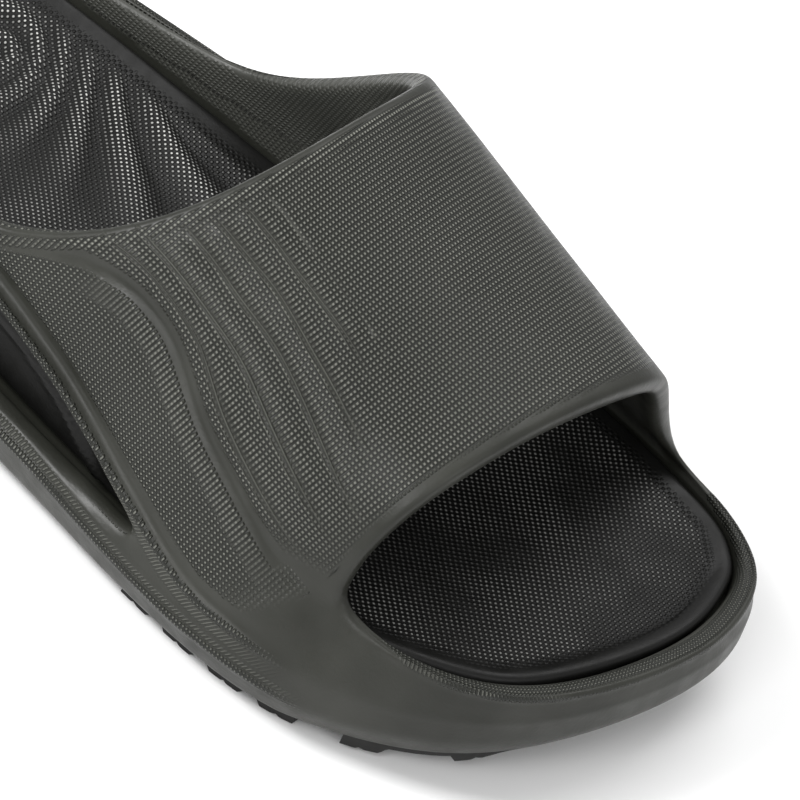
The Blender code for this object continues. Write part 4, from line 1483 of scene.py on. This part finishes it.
def shellMaterial():
    material, tree, shader = newMaterial("grey foam")
    finish = foamFinish
    zoneVector, phase = attribute(tree, "zones")
    lineVector, edge = attribute(tree, "lines")
    fadeVector, outside = attribute(tree, "fades")
    toeRim, strip, within = parted(tree, attribute(tree, "rims")[0])
    zones = placeGroup(tree, "zones", Zones=zoneVector, Phase=phase, Lines=lineVector, Edge=edge,
                       Fades=fadeVector, Outside=outside, Rim=toeRim, Strip=strip)
    gridPlace, rimPlace = mapPlace(tree, "grid"), mapPlace(tree, "rim")
    grid = placeGroup(tree, "grid", Place=gridPlace, Pitch=finish["pitch"], Cells=zones["Cells"],
                      Dots=zones["Dots"], Bars=zones["Bars"])["Height"]
    beads = placeGroup(tree, "grid", Place=rimPlace, Pitch=finish["beadPitch"], Dots=zones["Beads"])["Height"]
    grid = maths(tree, "ADD", grid, maths(tree, "MULTIPLY", beads, finish["beadHeight"]))
    skin = placeGroup(tree, "skin", Scale=finish["skinScale"])

    # Fine slanting lines on the bevel over the window
    x, y, _ = parted(tree, rimPlace)
    slants = wave(tree, maths(tree, "SUBTRACT", x, y), finish["slantPitch"])
    slants = softRange(tree, slants, *finish["slantEdges"])
    slants = product(tree, slants, zones["Slants"], finish["slantHeight"])
    # Relief heights: they shape the bump, and the same tops and crest lines get the painted highlight colour
    raised = maths(tree, "MAXIMUM", maths(tree, "ADD", grid, slants), zones["Crests"])
    textured = zones["Cells"]
    for name in ("Dots", "Beads", "Bars"):
        textured = maths(tree, "ADD", textured, zones[name], clamp=True)

    # Painted highlights on the tops, painted shade in the hollows, and painted light on the inner face
    tone = maths(tree, "SUBTRACT", skin["Tone"], finish["toneMiddle"])
    tone = maths(tree, "MULTIPLY", tone, finish["toneShare"])
    share = maths(tree, "MULTIPLY_ADD", raised, finish["highlightShare"], tone, clamp=True)
    # Painted light on the inner face of the wall, where the lamps reach little
    innerLightShare = maths(tree, "MULTIPLY", within, finish["innerLightShare"])
    plain = mixColour(tree, innerLightShare, finish["colour"], finish["inner"])
    colour = mixColour(tree, share, plain, finish["raised"])
    # Painted shade in the hollows of the textured places
    sunk = product(tree, maths(tree, "SUBTRACT", 1.0, raised, clamp=True), textured, finish["hollowShadeShare"])
    colour = mixColour(tree, sunk, colour, finish["hollow"])
    finishSurface(tree, shader, finish, skin, colour, raised)
    return material


bedFinish = {
    "colour": (0.0060, 0.0060, 0.0056, 1),
    # tops: painted highlight, the pale colour laid on the tips of the dots
    "tops": (0.480, 0.480, 0.460, 1),
    "highlightTips": (0.60, 1.0),
    "highlightPatches": (0.38, 0.62, 0.12, 0.42),
    "heelLess": -0.65,
    "litCrestPower": 1.6,
    "litCrestShare": 1.05,
    "roughness": (0.34, 0.48),
    "specular": 0.21,
    "skinScale": 0.9,
    "poreDepth": 0.00004,
    "reliefDepth": 0.00060,
    "pitch": 1.08,
    "turn": 45,
}


def footbedMaterial():
    material, tree, shader = newMaterial("black foam")
    finish = bedFinish
    dots, ring, heel = parted(tree, attribute(tree, "zones")[0])
    turn = tree.nodes.new("ShaderNodeVectorRotate")
    turn.rotation_type = "Z_AXIS"
    turn.inputs["Angle"].default_value = math.radians(finish["turn"])
    tree.links.new(mapPlace(tree, "grid"), turn.inputs["Vector"])
    tops = placeGroup(tree, "grid", Place=turn.outputs[0], Pitch=finish["pitch"], Dots=dots)["Height"]
    skin = placeGroup(tree, "skin", Scale=finish["skinScale"])
    # Painted highlights on the tips of the dots, brighter on the ring crests and in random patches
    highlightTips = softRange(tree, tops, *finish["highlightTips"])
    highlightPatches = softRange(tree, skin["Tone"], *finish["highlightPatches"])
    highlightPatches = product(tree, highlightPatches, maths(tree, "MULTIPLY_ADD", heel, finish["heelLess"], 1.0))
    litCrests = maths(tree, "POWER", ring, finish["litCrestPower"])
    paintedHighlight = product(tree, highlightTips, maths(tree, "MULTIPLY_ADD", litCrests, finish["litCrestShare"], highlightPatches))
    colour = mixColour(tree, paintedHighlight, finish["colour"], finish["tops"])
    finishSurface(tree, shader, finish, skin, colour, tops)
    return material


rubberFinish = {
    "dark": (0.006, 0.006, 0.006, 1),
    "light": (0.012, 0.012, 0.011, 1),
    "roughness": (0.45, 0.62),
    "specular": 0.35,
    "skinScale": 0.8,
    "poreDepth": 0.00006,
}


def rubberMaterial():
    material, tree, shader = newMaterial("black rubber")
    skin = placeGroup(tree, "skin", Scale=rubberFinish["skinScale"])
    colour = mixColour(tree, skin["Tone"], rubberFinish["dark"], rubberFinish["light"])
    finishSurface(tree, shader, rubberFinish, skin, colour)
    return material


# Making the pieces
cadShell = [np.array(corner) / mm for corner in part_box("shell")]


def addPiece(name, mesh, material, node):
    piece = bpy.data.objects.new(name, mesh)
    bpy.context.scene.collection.objects.link(piece)
    mesh.materials.clear()
    mesh.materials.append(material)
    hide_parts(node)
    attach(piece, "root")
    return piece


def shiftMesh(mesh, offset):
    mesh.transform(Matrix.Translation(Vector(offset) * mm))


shellForm = shellMesh()
formPoints, _ = readPoints(shellForm)
offset = 0.5 * (cadShell[0] + cadShell[1]) - 0.5 * (formPoints.min(0) + formPoints.max(0))
offset[2] = 0
print("shell form:", len(shellForm.polygons), "faces, shifted", np.round(offset, 2))
mouldShell(shellForm)
print("shell relief done")
bedForm = footbedMesh()
mouldFootbed(bedForm)
print("footbed done:", len(bedForm.polygons), "faces")

rubber = rubberMaterial()
pieces = [
    addPiece("foam_shell", shellForm, shellMaterial(), "shell"),
    addPiece("footbed_insert", bedForm, footbedMaterial(), "footbed"),
]
for name, start, end in tread["pads"]:
    pieces.append(addPiece(name + "_tread", padMesh(name, start, end), rubber, name))
for piece in pieces:
    shiftMesh(piece.data, offset)
print("pads done")

# Studio
studio = {
    "elevation": 39.8,
    "turn": 68.8,
    "roll": -24.0,
    "aim": (-32.1, 61.9, 9.0),
    "distance": 1.2,
    "frameWidth": 0.15385,
    "sensor": 36.0,
    "floorTone": (0.92, 0.92, 0.92, 1),
    "worldTone": (1, 1, 1, 1),
    "worldStrength": 0.55,
    "clipStart": 0.05,
    "floorSize": 20,
    "floorRoughness": 0.9,
}

# Name, place, aim, size and power of each light
lights = (
    ("key", (0.62, -0.72, 0.95), (0, 0.03, 0.03), (0.45, 0.45), 17),
    ("fill", (-0.55, -0.10, 1.15), (0, 0.03, 0.03), (0.9, 0.9), 7),
    ("toe", (0.35, 1.15, 0.75), (0, 0.08, 0.02), (0.8, 0.5), 2.5),
    ("front", (1.0, 0.15, 0.95), (0, 0.0, 0.04), (0.5, 0.5), 6),
)


def studioDirections():
    up, turn, roll = (math.radians(studio[name]) for name in ("elevation", "turn", "roll"))
    level = Vector((-math.cos(turn), math.sin(turn), 0))
    rise = Vector((-math.sin(turn) * math.sin(up), -math.cos(turn) * math.sin(up), math.cos(up)))
    towards = Vector((math.sin(turn) * math.cos(up), math.cos(turn) * math.cos(up), math.sin(up)))
    right = math.cos(roll) * level - math.sin(roll) * rise
    top = math.sin(roll) * level + math.cos(roll) * rise
    return right, top, towards


def addCamera():
    right, top, towards = studioDirections()
    data = bpy.data.cameras.new("camera")
    data.sensor_width = studio["sensor"]
    data.lens = studio["sensor"] * studio["distance"] / studio["frameWidth"]
    data.clip_start = studio["clipStart"]
    camera = bpy.data.objects.new("camera", data)
    matrix = Matrix((right, top, towards)).transposed().to_4x4()
    matrix.translation = Vector(studio["aim"]) * mm + towards * studio["distance"]
    camera.matrix_world = matrix
    bpy.context.scene.collection.objects.link(camera)
    bpy.context.scene.camera = camera


def addLight(name, place, aim, size, power):
    data = bpy.data.lights.new(name, "AREA")
    data.shape = "RECTANGLE"
    data.size, data.size_y = size
    data.energy = power
    light = bpy.data.objects.new(name, data)
    light.location = place
    light.rotation_euler = (Vector(aim) - Vector(place)).to_track_quat("-Z", "Y").to_euler()
    bpy.context.scene.collection.objects.link(light)


def addStage():
    mesh = bpy.data.meshes.new("floor")
    made = bmesh.new()
    bmesh.ops.create_grid(made, x_segments=1, y_segments=1, size=studio["floorSize"])
    made.to_mesh(mesh)
    made.free()
    floor = bpy.data.objects.new("floor", mesh)
    bpy.context.scene.collection.objects.link(floor)
    material, tree, shader = newMaterial("pale floor")
    shader.inputs["Base Color"].default_value = studio["floorTone"]
    shader.inputs["Roughness"].default_value = studio["floorRoughness"]
    mesh.materials.append(material)
    floor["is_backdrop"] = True


def addWorld():
    world = bpy.data.worlds.new("studio")
    world.use_nodes = True
    background = world.node_tree.nodes["Background"]
    background.inputs["Color"].default_value = studio["worldTone"]
    background.inputs["Strength"].default_value = studio["worldStrength"]
    bpy.context.scene.world = world
    bpy.context.scene.view_settings.view_transform = "Standard"


addCamera()
addStage()
addWorld()
for light in lights:
    addLight(*light)
print("studio done")

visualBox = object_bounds()
sizes = {name: [list(map(float, corner)) for corner in box] for name, box in (("cad", cadBox), ("visual", visualBox))}
